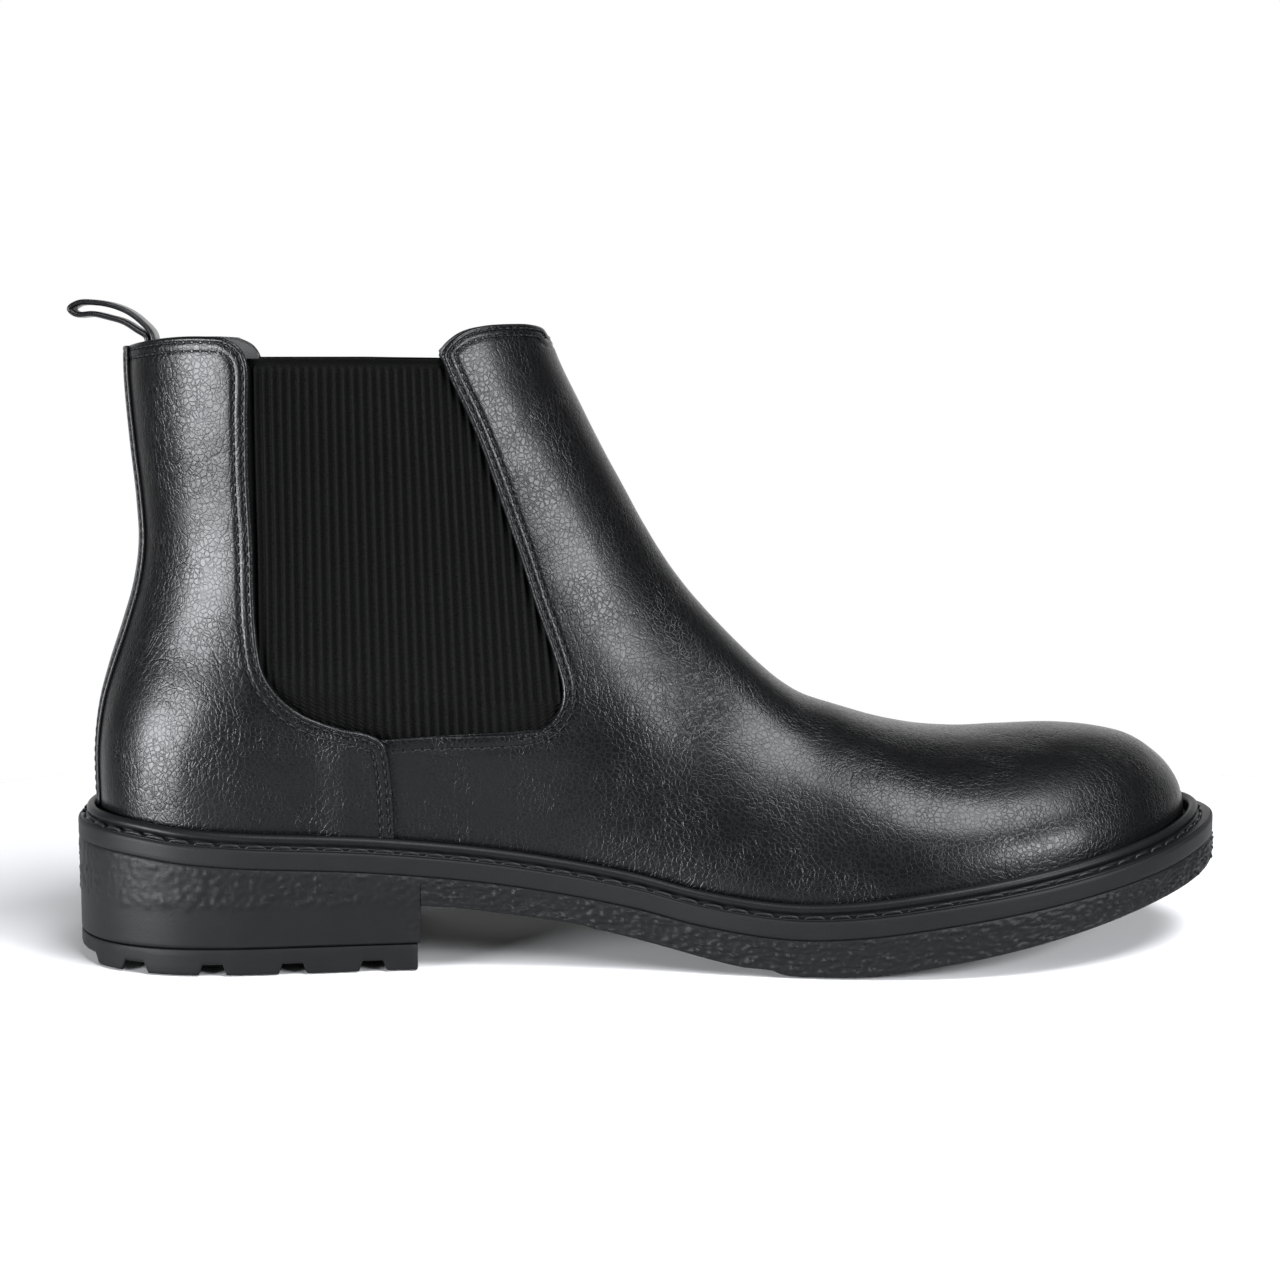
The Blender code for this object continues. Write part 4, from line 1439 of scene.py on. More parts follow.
@dataclass(frozen=True)
class Front:
    """The front of the upper with its tab, one cut of leather that bends at the instep.

    Its lining and the stitches of its seams belong to it. The three past_ values say how much deeper
    the lining lies beside the gore, under the puff and beside the counter.
    """

    shape: SheetShape = SheetShape(rows=(1.35, 3.1))
    bend: float = 34.0
    lining_depth: float = 1.65
    past_gore: float = 1.6
    past_puff: float = 2.9
    past_counter: float = 2.2
    lining_thick: float = 1.0
    pitch: float = 2.5
    corner: tuple = (113.0, 59.3)
    seam_end: tuple = (84.5, 58.4)

    def blend(self, obj: bpy.types.Object) -> bpy.types.Object:
        """Bakes the piece's transform into its mesh. The ends of a line up from the middle of the hinge line
        are worked out but not used, so the piece is not bent over the instep.

        Args:
            obj: The piece.

        Returns:
            The piece.
        """
        ridge, edge = np.array(HINGE_RIDGE) * LAST.side_scale, np.array(HINGE_EDGE) * LAST.side_scale
        middle, run = (ridge + edge) / 2, ridge - edge
        up = np.array([-run[1], run[0]]) / np.linalg.norm(run)
        ends = [LAST.to_frame((p[0], 0, p[1])) for p in (middle, middle + up * self.bend)]
        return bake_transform(obj)

    def seams(self) -> dict[Side, Seam]:
        """The sewn edge on each side."""
        line = FrontGrid().seam_line
        return {side: Seam(line, side, 1) for side in Side}

    def place_on(self, seam: Seam, where: tuple) -> float:
        """Length along a seam at the place nearest to a point of the side view."""
        point = np.array(where) * LAST.side_scale
        return float(seam.measure(point[:1], point[1:])[0, 0])

    def build_leather(self) -> bpy.types.Object:
        """The leather.

        Returns:
            The object.
        """
        seams = self.seams()
        points = FrontGrid().whole()
        seam = seams[Side.LATERAL].measure(points[..., 0], points[..., 2])
        outer, inner = self.shape.depths(points, seam[..., 1], 11)
        n = LAST.normals(points)
        look = Leather("black_leather_front", rows=self.shape.rows,
                       first_row_end=self.place_on(seams[Side.LATERAL], self.corner)).make()
        obj = make_sheet("front_leather", sink(points, n, outer), sink(points, n, inner), look, seam)
        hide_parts("vamp", "vamp_tab")
        return self.blend(obj)

    def build_lining(self) -> bpy.types.Object:
        """The lining, close to the leather in the tab and clear of the gores' hidden edges and the toe puff.

        Returns:
            The object.
        """
        points = FrontGrid(row_pitch=3.4, half_columns=24, trim=0.9, lower=0.7).whole()
        inset = self.seams()[Side.LATERAL].measure(points[..., 0], points[..., 2])[..., 1]
        high = ease((points[..., 2] - 60) / 8)
        beside_gore = (1 - ease((inset - 7) / 4)) * high * ease((160 - points[..., 2]) / 6)
        toe = ease((points[..., 0] - 150) / 40)
        depth = (self.lining_depth + self.past_gore * beside_gore * (1 - toe) + self.past_puff * toe
                 + self.past_counter * (1 - high) * (1 - toe))
        n = LAST.normals(points)
        look = Textile("front_lining_cloth").make()
        inner = sink(points, n, depth + self.lining_thick)
        obj = make_sheet("front_lining", sink(points, n, depth), inner, look)
        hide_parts("vamp_lining", "vamp_tab_lining")
        return self.blend(obj)

    def build_stitches(self) -> bpy.types.Object:
        """Two rows round the tab and down each gore, and one along the foot of the gore.

        Returns:
            The object.
        """
        runs = []
        for seam in self.seams().values():
            ends = (self.place_on(seam, self.corner), self.place_on(seam, self.seam_end))
            runs += [seam.row(inset, self.pitch, 0.0, end) for inset, end in zip(self.shape.rows, ends)]
        obj = Stitches().build("front_stitches", runs, Thread("black_thread_front").make())
        return self.blend(obj)

    def build(self) -> None:
        """All pieces."""
        self.build_leather()
        self.build_lining()
        self.build_stitches()


@dataclass(frozen=True)
class QuarterGrid:
    """Places on one quarter: lines run forward from the back seam to the gore and the side seam."""

    side: Side
    rows: int = 150
    half_columns: int = 62
    trim: float = 0.0
    lower: float = 0.0

    def lines(self) -> tuple[Array, Array, Array]:
        """Back end, edge end and share of the way down of every line.

        Returns:
            The three arrays.
        """
        foot_x = 81.8 * LAST.length
        edge = np.concatenate([spline(GORE_BACK) * LAST.side_scale, [[foot_x, LAST.feather_z(foot_x)]]])
        fine = np.array(EDGE_STEPS[:15]) * 0.012
        at = np.concatenate([fine, np.linspace(fine[-1], 1, self.rows + 1)[1:]])
        top = LAST.back[0, 1]
        z = np.interp(at, [0, 0.06, 0.6, 1], [top, top - 5, 76 * LAST.height, LAST.feather_z(LAST.heel_x)])
        return np.stack([LAST.back_x(z), z], -1), along(edge, at * arc(edge)[-1]), at

    def side_view(self) -> tuple[Array, Array]:
        """x and z of every place. z = chord + arch along the top, and meets the sole's edge at the foot.

        Returns:
            Both as grids.
        """
        back, edge, at = self.lines()
        length = np.linalg.norm(edge - back, axis=1)
        share = chord_shares(length, self.half_columns) * (1 - self.trim / length)[:, None]
        x = back[:, :1] * (1 - share) + edge[:, :1] * share
        z = back[:, 1:] * (1 - share) + edge[:, 1:] * share
        down = at[:, None]
        z = z + (LAST.feather_z(x) - z) * ease((down - 0.8) / 0.2) ** 2
        arch = 4.4 * LAST.height * share * (1 - share) * (1 - ease(down / 0.05))
        return x, z + arch - self.lower * (1 - ease(down / 0.12))

    def points(self) -> Array:
        """Points on the outer face.

        Returns:
            A grid of points.
        """
        x, z = self.side_view()
        points = LAST.place(x, z, self.side.value)
        points[:, 0, 1] = 0
        return points

    def seam(self) -> Seam:
        """The sewn edge: along the top, down the gore and down the side seam.

        Returns:
            The seam.
        """
        x, z = QuarterGrid(self.side, 150, 62).side_view()
        front = np.concatenate([spline(GORE_BACK)[1:] * LAST.side_scale,
                                [[81.8 * LAST.length, LAST.feather_z(81.8 * LAST.length)]]])
        top = np.stack([x[0], z[0]], -1)
        return Seam(np.concatenate([top, front]), self.side, -1)


@dataclass(frozen=True)
class Quarters:
    """The two quarters with their rear tab, lining, back strip and seams."""

    shape: SheetShape = SheetShape(rows=(1.4, 3.6))
    seam_gap: float = 0.12
    wing_rise: float = 1.56
    pitch: float = 2.5
    strip_half: float = 8.2
    strip_thick: float = 1.0
    lining_thick: float = 1.0
    collar: float = 2.6

    def rise(self, points: Array) -> Array:
        """How far a quarter stands out where it lies over the front's wing."""
        x, z = points[..., 0] / LAST.length, points[..., 2] / LAST.height
        return self.wing_rise * ease((x - 60) / 11) * (1 - ease((z - 58.5) / 6))

    def build_leather(self, side: Side) -> bpy.types.Object:
        """One quarter's leather.

        Args:
            side: Which side of the boot.

        Returns:
            The object.
        """
        word = side.name.lower()
        grid = QuarterGrid(side)
        points = grid.points()
        seam = grid.seam().measure(points[..., 0], points[..., 2])
        outer, inner = self.shape.depths(points, seam[..., 1], 23)
        n = LAST.normals(points)
        up = self.rise(points)
        faces = [sink(points, n, depth - up) for depth in (outer, inner)]
        for face in faces:
            face[:, 0, 1] = side.value * self.seam_gap
        look = Leather(f"black_leather_quarter_{word}", rows=self.shape.rows).make()
        obj = make_sheet(f"quarter_leather_{word}", faces[0], faces[1], look, seam)
        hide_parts(f"quarter_{word}")
        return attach(obj, "boot")

    def build_lining(self) -> bpy.types.Object:
        """One lining for both quarters, with a padded collar behind the pull loop's sewn end.

        Returns:
            The object.
        """
        halves, insets = [], []
        for side in Side:
            grid = QuarterGrid(side, 60, 24, trim=0.9, lower=0.7)
            points = grid.points()
            halves.append(points)
            insets.append(grid.seam().measure(points[..., 0], points[..., 2])[..., 1])
        points = np.concatenate([halves[0][:, ::-1], halves[1][:, 1:]], 1)
        inset = np.concatenate([insets[0][:, ::-1], insets[1][:, 1:]], 1)
        x, y, z = (points[..., k] for k in range(3))
        beside_gore = (1 - ease((inset - 7) / 4)) * ease((x - 34) / 6) * ease((159 - z) / 5)
        counter = 1 - ease((z - 80) / 14)
        depth = np.maximum(1.65 + 1.6 * beside_gore, 1.65 + 2.5 * counter)
        collar = self.collar * (1 - ease((np.abs(y) - 11) / 7)) * ease((z - 112) / 16) * (x < 40)
        n = LAST.normals(points)
        look = Textile("quarter_lining_cloth").make()
        obj = make_sheet("quarter_lining_sheet", sink(points, n, depth),
                         sink(points, n, depth + self.lining_thick + collar), look)
        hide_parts("quarter_lining")
        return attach(obj, "boot")

    def strip_points(self, z: Array, widths: Array) -> Array:
        """Points round the back at each height, at the given distances from the middle plane.

        At every height the half width grows with x, so the place where it has a given value is read off
        its inverse.

        Args:
            z: Heights.
            widths: Distances, below 0 on the lateral side.

        Returns:
            A grid of points, one row for each height.
        """
        reach = np.linspace(0, 1, 160) ** 2 * 9.0
        rows = []
        for height in z:
            x = LAST.back_x(height) + reach
            row = np.empty((len(widths), 3))
            for side in Side:
                half = np.maximum.accumulate(LAST.half_width(x, height, side.value))
                here = np.sign(widths) == side.value
                row[here, 0] = np.interp(np.abs(widths[here]), half, x)
            row[widths == 0, 0] = x[0]
            rows.append(np.stack([row[:, 0], widths, np.full(len(widths), height)], -1))
        return np.array(rows)

    def build_strip(self) -> bpy.types.Object:
        """The strip over the back seam, its long edges rolled.

        Returns:
            The object.
        """
        half = self.strip_half
        near = half - np.array(EDGE_STEPS[:11])
        widths = np.concatenate([-near, np.linspace(-near[-1], near[-1], 13)[1:-1], near[::-1]])
        top, foot = 156.6 * LAST.height, 39.0 * LAST.height
        z = np.concatenate([top - np.array(EDGE_STEPS[:9]), np.linspace(top - 3, foot, 90)])
        points = self.strip_points(z, widths)
        inset = np.minimum(half - np.abs(points[..., 1]), top - points[..., 2])
        edge = 1 - np.sqrt(np.clip(1 - np.clip(1 - inset / 0.8, 0, 1) ** 2, 0, 1))
        outer = -self.strip_thick + 0.6 * self.strip_thick * edge - 0.04 * value_noise(points, 6.0, 5)
        outer = outer + 0.15 * np.exp(-(((inset - 1.4) / 0.35) ** 2))
        n = LAST.normals(points)
        seam = np.stack([np.broadcast_to((top - z)[:, None], inset.shape), inset], -1)
        look = Leather("black_leather_strip", gloss=0.36, rows=(1.4,)).make()
        obj = make_sheet("back_seam_strip", sink(points, n, outer), sink(points, n, inset * 0), look, seam)
        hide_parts("back_strip")
        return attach(obj, "boot")

    def build_stitches(self) -> bpy.types.Object:
        """Two rows round each quarter's edge, and one down each edge of the back strip.

        Returns:
            The object.
        """
        runs = []
        for side in Side:
            seam = QuarterGrid(side).seam()
            from_middle = np.abs(LAST.place(*seam.line.T, side.value)[:, 1])
            start = float(seam.run[from_middle.searchsorted(self.strip_half)])
            for inset in self.shape.rows:
                ends, n = seam.row(inset, self.pitch, start + 0.5, seam.run[-1] - 2.0)
                up = self.rise(ends)[..., None] * n[:, None]
                runs.append((ends + up, n))
            z = np.arange(154.5, 41, -self.pitch) * LAST.height
            holes = self.strip_points(z, np.array([side.value * (self.strip_half - 1.4)]))[:, 0]
            ends = np.stack([holes[:-1], holes[1:]], 1)
            n = LAST.normals(ends.mean(1))
            runs.append((ends + n[:, None] * (self.strip_thick - 0.1), n))
        obj = Stitches().build("rear_stitches", runs, Thread("black_thread_rear").make())
        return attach(obj, "boot")

    def build(self) -> None:
        """All pieces."""
        for side in Side:
            self.build_leather(side)
        self.build_lining()
        self.build_strip()
        self.build_stitches()


@dataclass(frozen=True)
class Gores:
    """The two elastic gores: upright ribs between plain bands, their edges hidden behind the leather."""

    pitch: float = 2.2
    rib: float = 0.78
    lean: float = 0.055
    margin: float = 6.0
    depth: float = 1.65
    thick: float = 1.4
    band: float = 1.5
    across: int = 310
    rows: int = 92
    stretch: float = 32.0
    top: float = 153.4
    band_rows: tuple = (0, 0.3, 0.7, 1.2, 1.6, 2.0)

    def rib_height(self, x: Array, z: Array) -> Array:
        """Share of a rib's full height: ((1 + cos)/2)^1.9 of x less a lean, and 0 at the plain band on top.

        The lean grows forward and down.

        Args:
            x: Places along the boot.
            z: Heights.

        Returns:
            Shares from 0 to 1.
        """
        lean = self.lean * (154 - z) * np.clip((x - 60) / 60, 0, 2)
        wave = 0.5 + 0.5 * np.cos(2 * math.pi * (x - lean) / self.pitch)
        return wave**1.9 * ease((153.2 - self.band - z) / 0.9)

    def build_side(self, side: Side) -> bpy.types.Object:
        """One gore, stretching between the quarter and the front tab.

        Args:
            side: Which side of the boot.

        Returns:
            The object.
        """
        z = np.concatenate([self.top - np.array(self.band_rows), np.linspace(150.6, 53.2, self.rows)])
        front, rear = spline(GORE_FRONT), spline(GORE_BACK)
        high = front[:, 1] > 70.6
        x1 = np.interp(-z, -front[high, 1], front[high, 0]) + self.margin
        x1 = np.minimum(x1, np.interp(z, [53, 68], [116, 131]))
        low = rear[:, 1] < 154
        x0 = np.interp(-z, -rear[low, 1], rear[low, 0]) - self.margin
        x0 = np.where(z > 66, x0, np.maximum(np.interp(z, [53, 60, 66], [68, 60, 51]), 0))
        share = np.linspace(0, 1, self.across + 1)
        x = x0[:, None] * (1 - share) + x1[:, None] * share
        zz = np.broadcast_to(z[:, None], x.shape)
        points = LAST.place(x * LAST.length, zz * LAST.height, side.value)
        high_rib = self.rib_height(x, zz)
        n = LAST.normals(points)
        round_top = 0.3 * (1 - ease((self.top - zz) / 0.8))
        outer = self.depth + self.rib * (1 - high_rib) * ease((153.5 - zz) / 1.2) + round_top
        name = f"gore_webbing_{side.name.lower()}"
        seam = np.stack([high_rib, zz], -1)
        inner = np.full(x.shape, self.depth + self.thick)
        obj = make_sheet(name, sink(points, n, outer), sink(points, n, inner), ELASTIC.make(), seam)
        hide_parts(f"gore_{side.name.lower()}")
        start = LAST.to_frame(np.array([47.0, 0, 154.0]) * (LAST.length, 1, LAST.height))
        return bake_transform(obj)

    def build(self) -> None:
        """Both gores."""
        for side in Side:
            self.build_side(side)


ELASTIC = Elastic()


@dataclass(frozen=True)
class PullLoop:
    """A glossy strap folded in two behind the topline, and its sewn end inside the collar."""

    width: float = 14.0
    ply: float = 1.5
    root: tuple = (20.95, 156.4)
    path: tuple = (
        (0.68, -0.4), (0.55, 3), (-1.9, 6.0), (-5.2, 8.6), (-9.2, 10.3), (-13.6, 11.1), (-17.8, 11.0),
        (-20, 9.5), (-18.4, 8.1), (-14.2, 8.2), (-10.2, 7.3), (-6.6, 6.2), (-3.4, 4.2), (-0.9, 2.4),
        (-0.72, -0.4),
    )

    def section(self) -> Array:
        """Flat oval (across, out): a superellipse with powers 8 and 2.5.

        Returns:
            Its points.
        """
        a = np.linspace(0, 2 * math.pi, 29)[:-1]
        c, s = np.cos(a), np.sin(a)
        return np.stack([self.width / 2 * np.sign(c) * np.abs(c) ** 0.28,
                         self.ply / 2 * np.sign(s) * np.abs(s) ** 0.75], -1)

    def build_loop(self) -> bpy.types.Object:
        """The loop.

        Returns:
            The object.
        """
        line = spline(self.path, 14)
        line = along(line, np.linspace(0, arc(line)[-1], 130)) + np.array(self.root) * LAST.side_scale
        look = Leather("glossy_strap_leather", shade=0.003, gloss=0.24, grain=0.9, crease=0.03,
                       rows=(50.0,)).make()
        obj = make_strap("pull_loop_strap", line, self.section(), look)
        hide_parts("pull_loop")
        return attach(obj, "pull_loop")

    def build_end(self) -> bpy.types.Object:
        """The sewn end: two plies lying on the collar, with rounded edges.

        Returns:
            The object.
        """
        root = np.array(self.root) * LAST.side_scale
        inset_steps = np.array((0, 0.15, 0.4, 0.8, 1.3, 2.0, 3.0))
        y = np.concatenate([-7 + inset_steps, np.linspace(-3.2, 3.2, 7), 7 - inset_steps[::-1]])
        z = root[1] - 2.1 - np.concatenate([inset_steps, np.linspace(4, 10, 8), 12.7 - inset_steps[::-1]])
        yy, zz = np.meshgrid(y, z)
        inset = np.minimum(7 - np.abs(yy), np.minimum(root[1] - 2.1 - zz, zz - (root[1] - 14.8)))
        edge = 1 - np.sqrt(np.clip(1 - np.clip(1 - inset / 0.8, 0, 1) ** 2, 0, 1))
        base = LAST.back_x(zz) + 20 * (yy / 31) ** 2 + 5.5
        lip = 0.2 * np.exp(-(((inset - 1.7) / 0.4) ** 2))
        near = np.stack([base + 0.5 * edge, yy, zz], -1)
        far = np.stack([base + 2.3 - 0.9 * edge - lip, yy, zz], -1)
        look = Leather("strap_end_leather", gloss=0.25, rows=(50.0,)).make()
        obj = make_sheet("pull_loop_sewn_end", far, near, look)
        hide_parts("pull_loop_anchor")
        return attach(obj, "boot")

    def build(self) -> None:
        """Both pieces."""
        self.build_loop()
        self.build_end()


# The sole

def margin_at(x: Array) -> Array:
    """How far the sole stands out beyond the upper."""
    return 6.0 + 1.8 * ease((x / LAST.length - 150) / 140)


@dataclass(frozen=True)
class Welt:
    """The moulded bead at the foot of the upper, the furrow beside it and the long stitches in the furrow."""

    count: int = 760
    pitch: float = 6.4
    radius: float = 0.42
    bead: tuple = (
        (1.15, 0.45), (1.1, 1.6), (1.15, 2.8), (1.45, 3.55), (1.95, 3.95), (2.5, 4.0), (3.05, 3.8),
        (3.5, 3.4), (3.75, 2.85), (3.75, 2.3), (3.5, 1.85), (3.3, 1.5), (3.4, 1.15), (3.8, 0.95),
        (4.3, 0.88),
    )
    shelf: tuple = ((-1.15, 0.86), (-0.85, 0.78), (-0.75, 0.6), (-0.75, 0.45))
    furrow: float = 4.72
    thread_height: float = 1.25

    def ring(self, amount: Array) -> Array:
        """Evenly spaced points of the plan grown outwards.

        Args:
            amount: How far.

        Returns:
            The points.
        """
        line = LAST.plan_offset(amount)
        line = np.concatenate([line, line[:1]])
        return along(line, np.linspace(0, arc(line)[-1], self.count + 1)[:-1])

    def build_bead(self) -> bpy.types.Object:
        """The bead and furrow as one hoop.

        Each point of its section keeps its distance from the upper, or from the edge.

        Returns:
            The object.
        """
        margin = margin_at(LAST.plan[:, 0])
        loops = [np.column_stack([(p := self.ring(out)), LAST.wall_z(p[:, 0]) + up]) for out, up in self.bead]
        for out, up in self.shelf:
            p = self.ring(margin + out)
            loops.append(np.column_stack([p, LAST.wall_z(p[:, 0]) + up]))
        grid = np.stack(loops, 1)
        look = Rubber("welt_rubber_black", shade=0.004, rough=0.36, streak=0.1).make()
        obj = make_hoop("welt_bead", grid, look)
        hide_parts("welt")
        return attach(obj, "boot")

    def build_stitches(self) -> bpy.types.Object:
        """The stitches, lying in the furrow.

        Returns:
            The object.
        """
        line = LAST.plan_offset(self.furrow)
        line = np.concatenate([line, line[:1]])
        total = arc(line)[-1]
        count = round(total / self.pitch)
        flat = along(line, np.linspace(0, total, count + 1))
        points = np.column_stack([flat, LAST.wall_z(flat[:, 0]) + self.thread_height])
        ends = np.stack([points[:-1], points[1:]], 1)
        d = ends[:, 1] - ends[:, 0]
        up = np.cross(np.cross(d, (0, 0, 1)), d)
        up /= np.linalg.norm(up, axis=1)[:, None]
        look = Thread("welt_thread_black", shade=0.006, rough=0.4).make()
        thread = Stitches(radius=self.radius, fill=0.93, stand=0.0, sides=8)
        obj = thread.build("welt_stitches", [(ends, up)], look)
        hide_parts("welt_thread")
        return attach(obj, "boot")

    def build(self) -> None:
        """Both pieces."""
        self.build_bead()
        self.build_stitches()


@dataclass(frozen=True)
class Sole:
    """The unit sole: a smooth band, the pebbled sole with its heel block, and the heel's top lift."""

    band: float = 4.3
    lift: float = 6.6
    seam: float = 0.18
    breast: float = 88.0
    notch_depth: float = 2.6
    notch_half: float = 3.5
    notches: tuple = (2.5, 16.0, 36.0, 56.0, 76.0)
    treads: tuple = (186.0, 198.5, 211.0, 223.5, 236.0, 248.5, 261.0)
    tread_depth: float = 1.8
    heel_end: float = 78.0
    plain_below: float = 15.8
    relief: float = 0.75

    @cached_property
    def edge(self) -> Array:
        """The sole's plan."""
        return LAST.plan_offset(margin_at(LAST.plan[:, 0]))

    def build_band(self) -> bpy.types.Object:
        """The smooth band, its upper edge rounded and its lower edge eased.

        Returns:
            The object.
        """
        plate = Plate(
            self.edge,
            out=np.array((-0.75, -0.42, -0.16, -0.03, 0, 0, 0, 0, 0, -0.06, -0.3)),
            down=np.array((0, 0, 0, 0, 0, 0.3, 0.5, 0.7, 0.9, 1, 1)),
            drop=np.array((0.0, -0.06, -0.25, -0.55, -0.95, 0, 0, 0, 0, 0.25, 0)),
            pitch=1.3,
        )
        obj = plate.build("sole_band", Rubber("sole_band_rubber", shade=0.005, rough=0.48, streak=0.3).make(),
                          lambda x, y: LAST.wall_z(x) - self.band, lambda x, y: LAST.wall_z(x) + 0.45)
        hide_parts("midsole")
        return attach(obj, "boot")

    def foot(self, x: Array, y: Array) -> Array:
        """Underside of the pebbled sole, with the heel seat behind the breast and grooves under the ball.

        Args:
            x: Places along the boot.
            y: Places across the boot.

        Returns:
            Heights.
        """
        at = x / LAST.length
        groove = np.zeros(np.shape(x))
        half = np.interp(at, [180, 215, 262], [30, 36, 26]) * LAST.width
        for tread in self.treads:
            groove = np.maximum(groove, ease((2.4 - np.abs(at - tread)) / 0.8))
        groove = groove * ease((half - np.abs(y)) / 1.2)
        heel = self.lift + self.seam
        return np.where(at < self.breast + 0.05, heel, LAST.under_z(x) + self.tread_depth * groove)

    def pebbles(self, s: Array, wall: Array) -> Array:
        """How far the wall stands out: two sizes of lumps, all over the fore part and a band on the heel.

        Args:
            s: Lengths round the edge.
            wall: Points of the wall before the lumps.

        Returns:
            Distances outwards.
        """
        x, z = wall[..., 0] / LAST.length, wall[..., 2] / LAST.height
        around = float(s.max()) + 0.5
        relief = 0.8 * lumps(s, z * 1.1, around, 1.6, 3) ** 2 + 0.55 * lumps(s, z, around, 1.0, 9) ** 2
        heel = 1 - ease((x - self.heel_end) / 16)
        band = ease((z - self.plain_below) / 2.4)
        strength = band * heel * (0.5 + 0.5 * ease((x - 10) / 50)) + (1 - heel)
        low, top = self.foot(wall[..., 0], wall[..., 1]), LAST.wall_z(wall[..., 0]) - self.band
        edges = ease((wall[..., 2] - low - 0.1) / 0.9) * ease((top - wall[..., 2] - 0.2) / 0.7)
        return self.relief * relief * strength * edges

    def build_unit(self) -> bpy.types.Object:
        """The pebbled sole with its heel block.

        Returns:
            The object.
        """
        share = np.linspace(0, 1, 38)[1:-1]
        breast = self.breast * LAST.length
        plate = Plate(
            self.edge,
            out=np.concatenate([(-0.55, -0.42, -0.3), -0.25 + share * 0, (-0.3, -0.5, -0.95)]),
            down=np.concatenate([(0, 0, 0), share, (1, 1, 1)]),
            drop=np.concatenate([(0, -0.05, -0.2), share * 0, (0.5, 0.18, 0.0)]),
            pitch=0.62, across=18,
            extra=(breast - 1.2, breast - 0.5, breast, breast + 0.1, breast + 0.7),
        )
        look = Rubber("pebbled_sole_rubber", shade=0.0045, rough=0.44, texture=0.05).make()
        obj = plate.build("pebbled_sole", look, self.foot,
                          lambda x, y: LAST.wall_z(x) - self.band - 0.05, self.pebbles, Seen.CREASED)
        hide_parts("outsole")
        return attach(obj, "boot")

    def build_lift(self) -> bpy.types.Object:
        """The heel's top lift, with tapered notches through its underside.

        Returns:
            The object.
        """
        half = self.notch_half
        corners = [c + d for c in self.notches for d in (-half, -half + 1, half - 1, half)]
        heights = [h for _ in self.notches for h in (0, self.notch_depth, self.notch_depth, 0)]
        heights[0] = heights[1]
        xs = np.array(corners) * LAST.length
        plate = Plate(
            self.edge,
            out=np.array((-0.75, -0.4, -0.28, -0.25, -0.25, -0.25, -0.32, -0.55, -1.0)),
            down=np.array((0, 0, 0, 0.25, 0.6, 1, 1, 1, 1)),
            drop=np.array((0, -0.08, -0.3, 0, 0, 0.9, 0.45, 0.15, 0)),
            pitch=1.3, across=16, end=(self.breast - 0.5) * LAST.length, extra=tuple(xs),
        )
        look = Rubber("lift_rubber", shade=0.0045, rough=0.5, texture=0.04).make()
        obj = plate.build("heel_top_lift", look, lambda x, y: np.interp(x, xs, heights),
                          lambda x, y: x * 0 + self.lift, seen=Seen.CREASED)
        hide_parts("heel_lift")
        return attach(obj, "boot")

    def build_insock(self) -> bpy.types.Object:
        """The insock: a thin pad with rounded edges, a little hollow under the heel and raised at the arch.

        Returns:
            The object.
        """
        x = LAST.plan[:, 0] / LAST.length
        line = LAST.plan_offset(-(9.6 + 3.6 * ease((x - 245) / 40)))
        plate = Plate(
            line,
            out=np.array((-0.9, -0.45, -0.15, 0, 0, -0.15, -0.6)),
            down=np.array((0, 0, 0, 0.3, 0.7, 1, 1)),
            drop=np.array((0, -0.08, -0.3, 0, 0, 0.3, 0)),
            pitch=2.0, across=22,
        )
        low = 0.3 + 1.6 + 0.3 + 2.2 + 0.3

        def top(x: Array, y: Array) -> Array:
            """Upper face: 2 mm over the lower one, crowned by a tenth of a millimetre of noise."""
            point = np.stack([x, y, x * 0], -1)
            return LAST.wall_z(x) + low + 2.0 + 0.12 * value_noise(point, 9.0, 8)

        obj = plate.build("insock_pad", Textile("insock_cloth", shade=0.035, yarn=0.9).make(),
                          lambda x, y: LAST.wall_z(x) + low, top)
        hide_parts("insock")
        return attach(obj, "boot")

    def build(self) -> None:
        """All pieces, and finishes for the parts shut inside the sole and the upper."""
        self.build_band()
        self.build_unit()
        self.build_lift()
        self.build_insock()
        hidden = {
            "toe_puff": Board("puff_fibre", (0.20, 0.17, 0.13), (0.42, 0.36, 0.28), 0.9),
            "heel_counter": Board("counter_fibre", (0.22, 0.18, 0.13), (0.40, 0.34, 0.26), 1.1),
            "insole_board": Board("insole_fibre", (0.30, 0.24, 0.17), (0.52, 0.44, 0.33), 0.7),
            "bottom_filler": Board("ground_cork", (0.20, 0.11, 0.05), (0.52, 0.34, 0.19), 1.8, 0.85),
            "shank": Board("spring_steel", (0.45, 0.45, 0.46), (0.62, 0.62, 0.63), 2.0, 0.3, 1.0,
                           (0.05, 1, 1)),
        }
        for node, finish in hidden.items():
            frame["nodes"][node].data.materials.clear()
            frame["nodes"][node].data.materials.append(finish.make())
            LOG.info("%s: finished", node)


# The studio

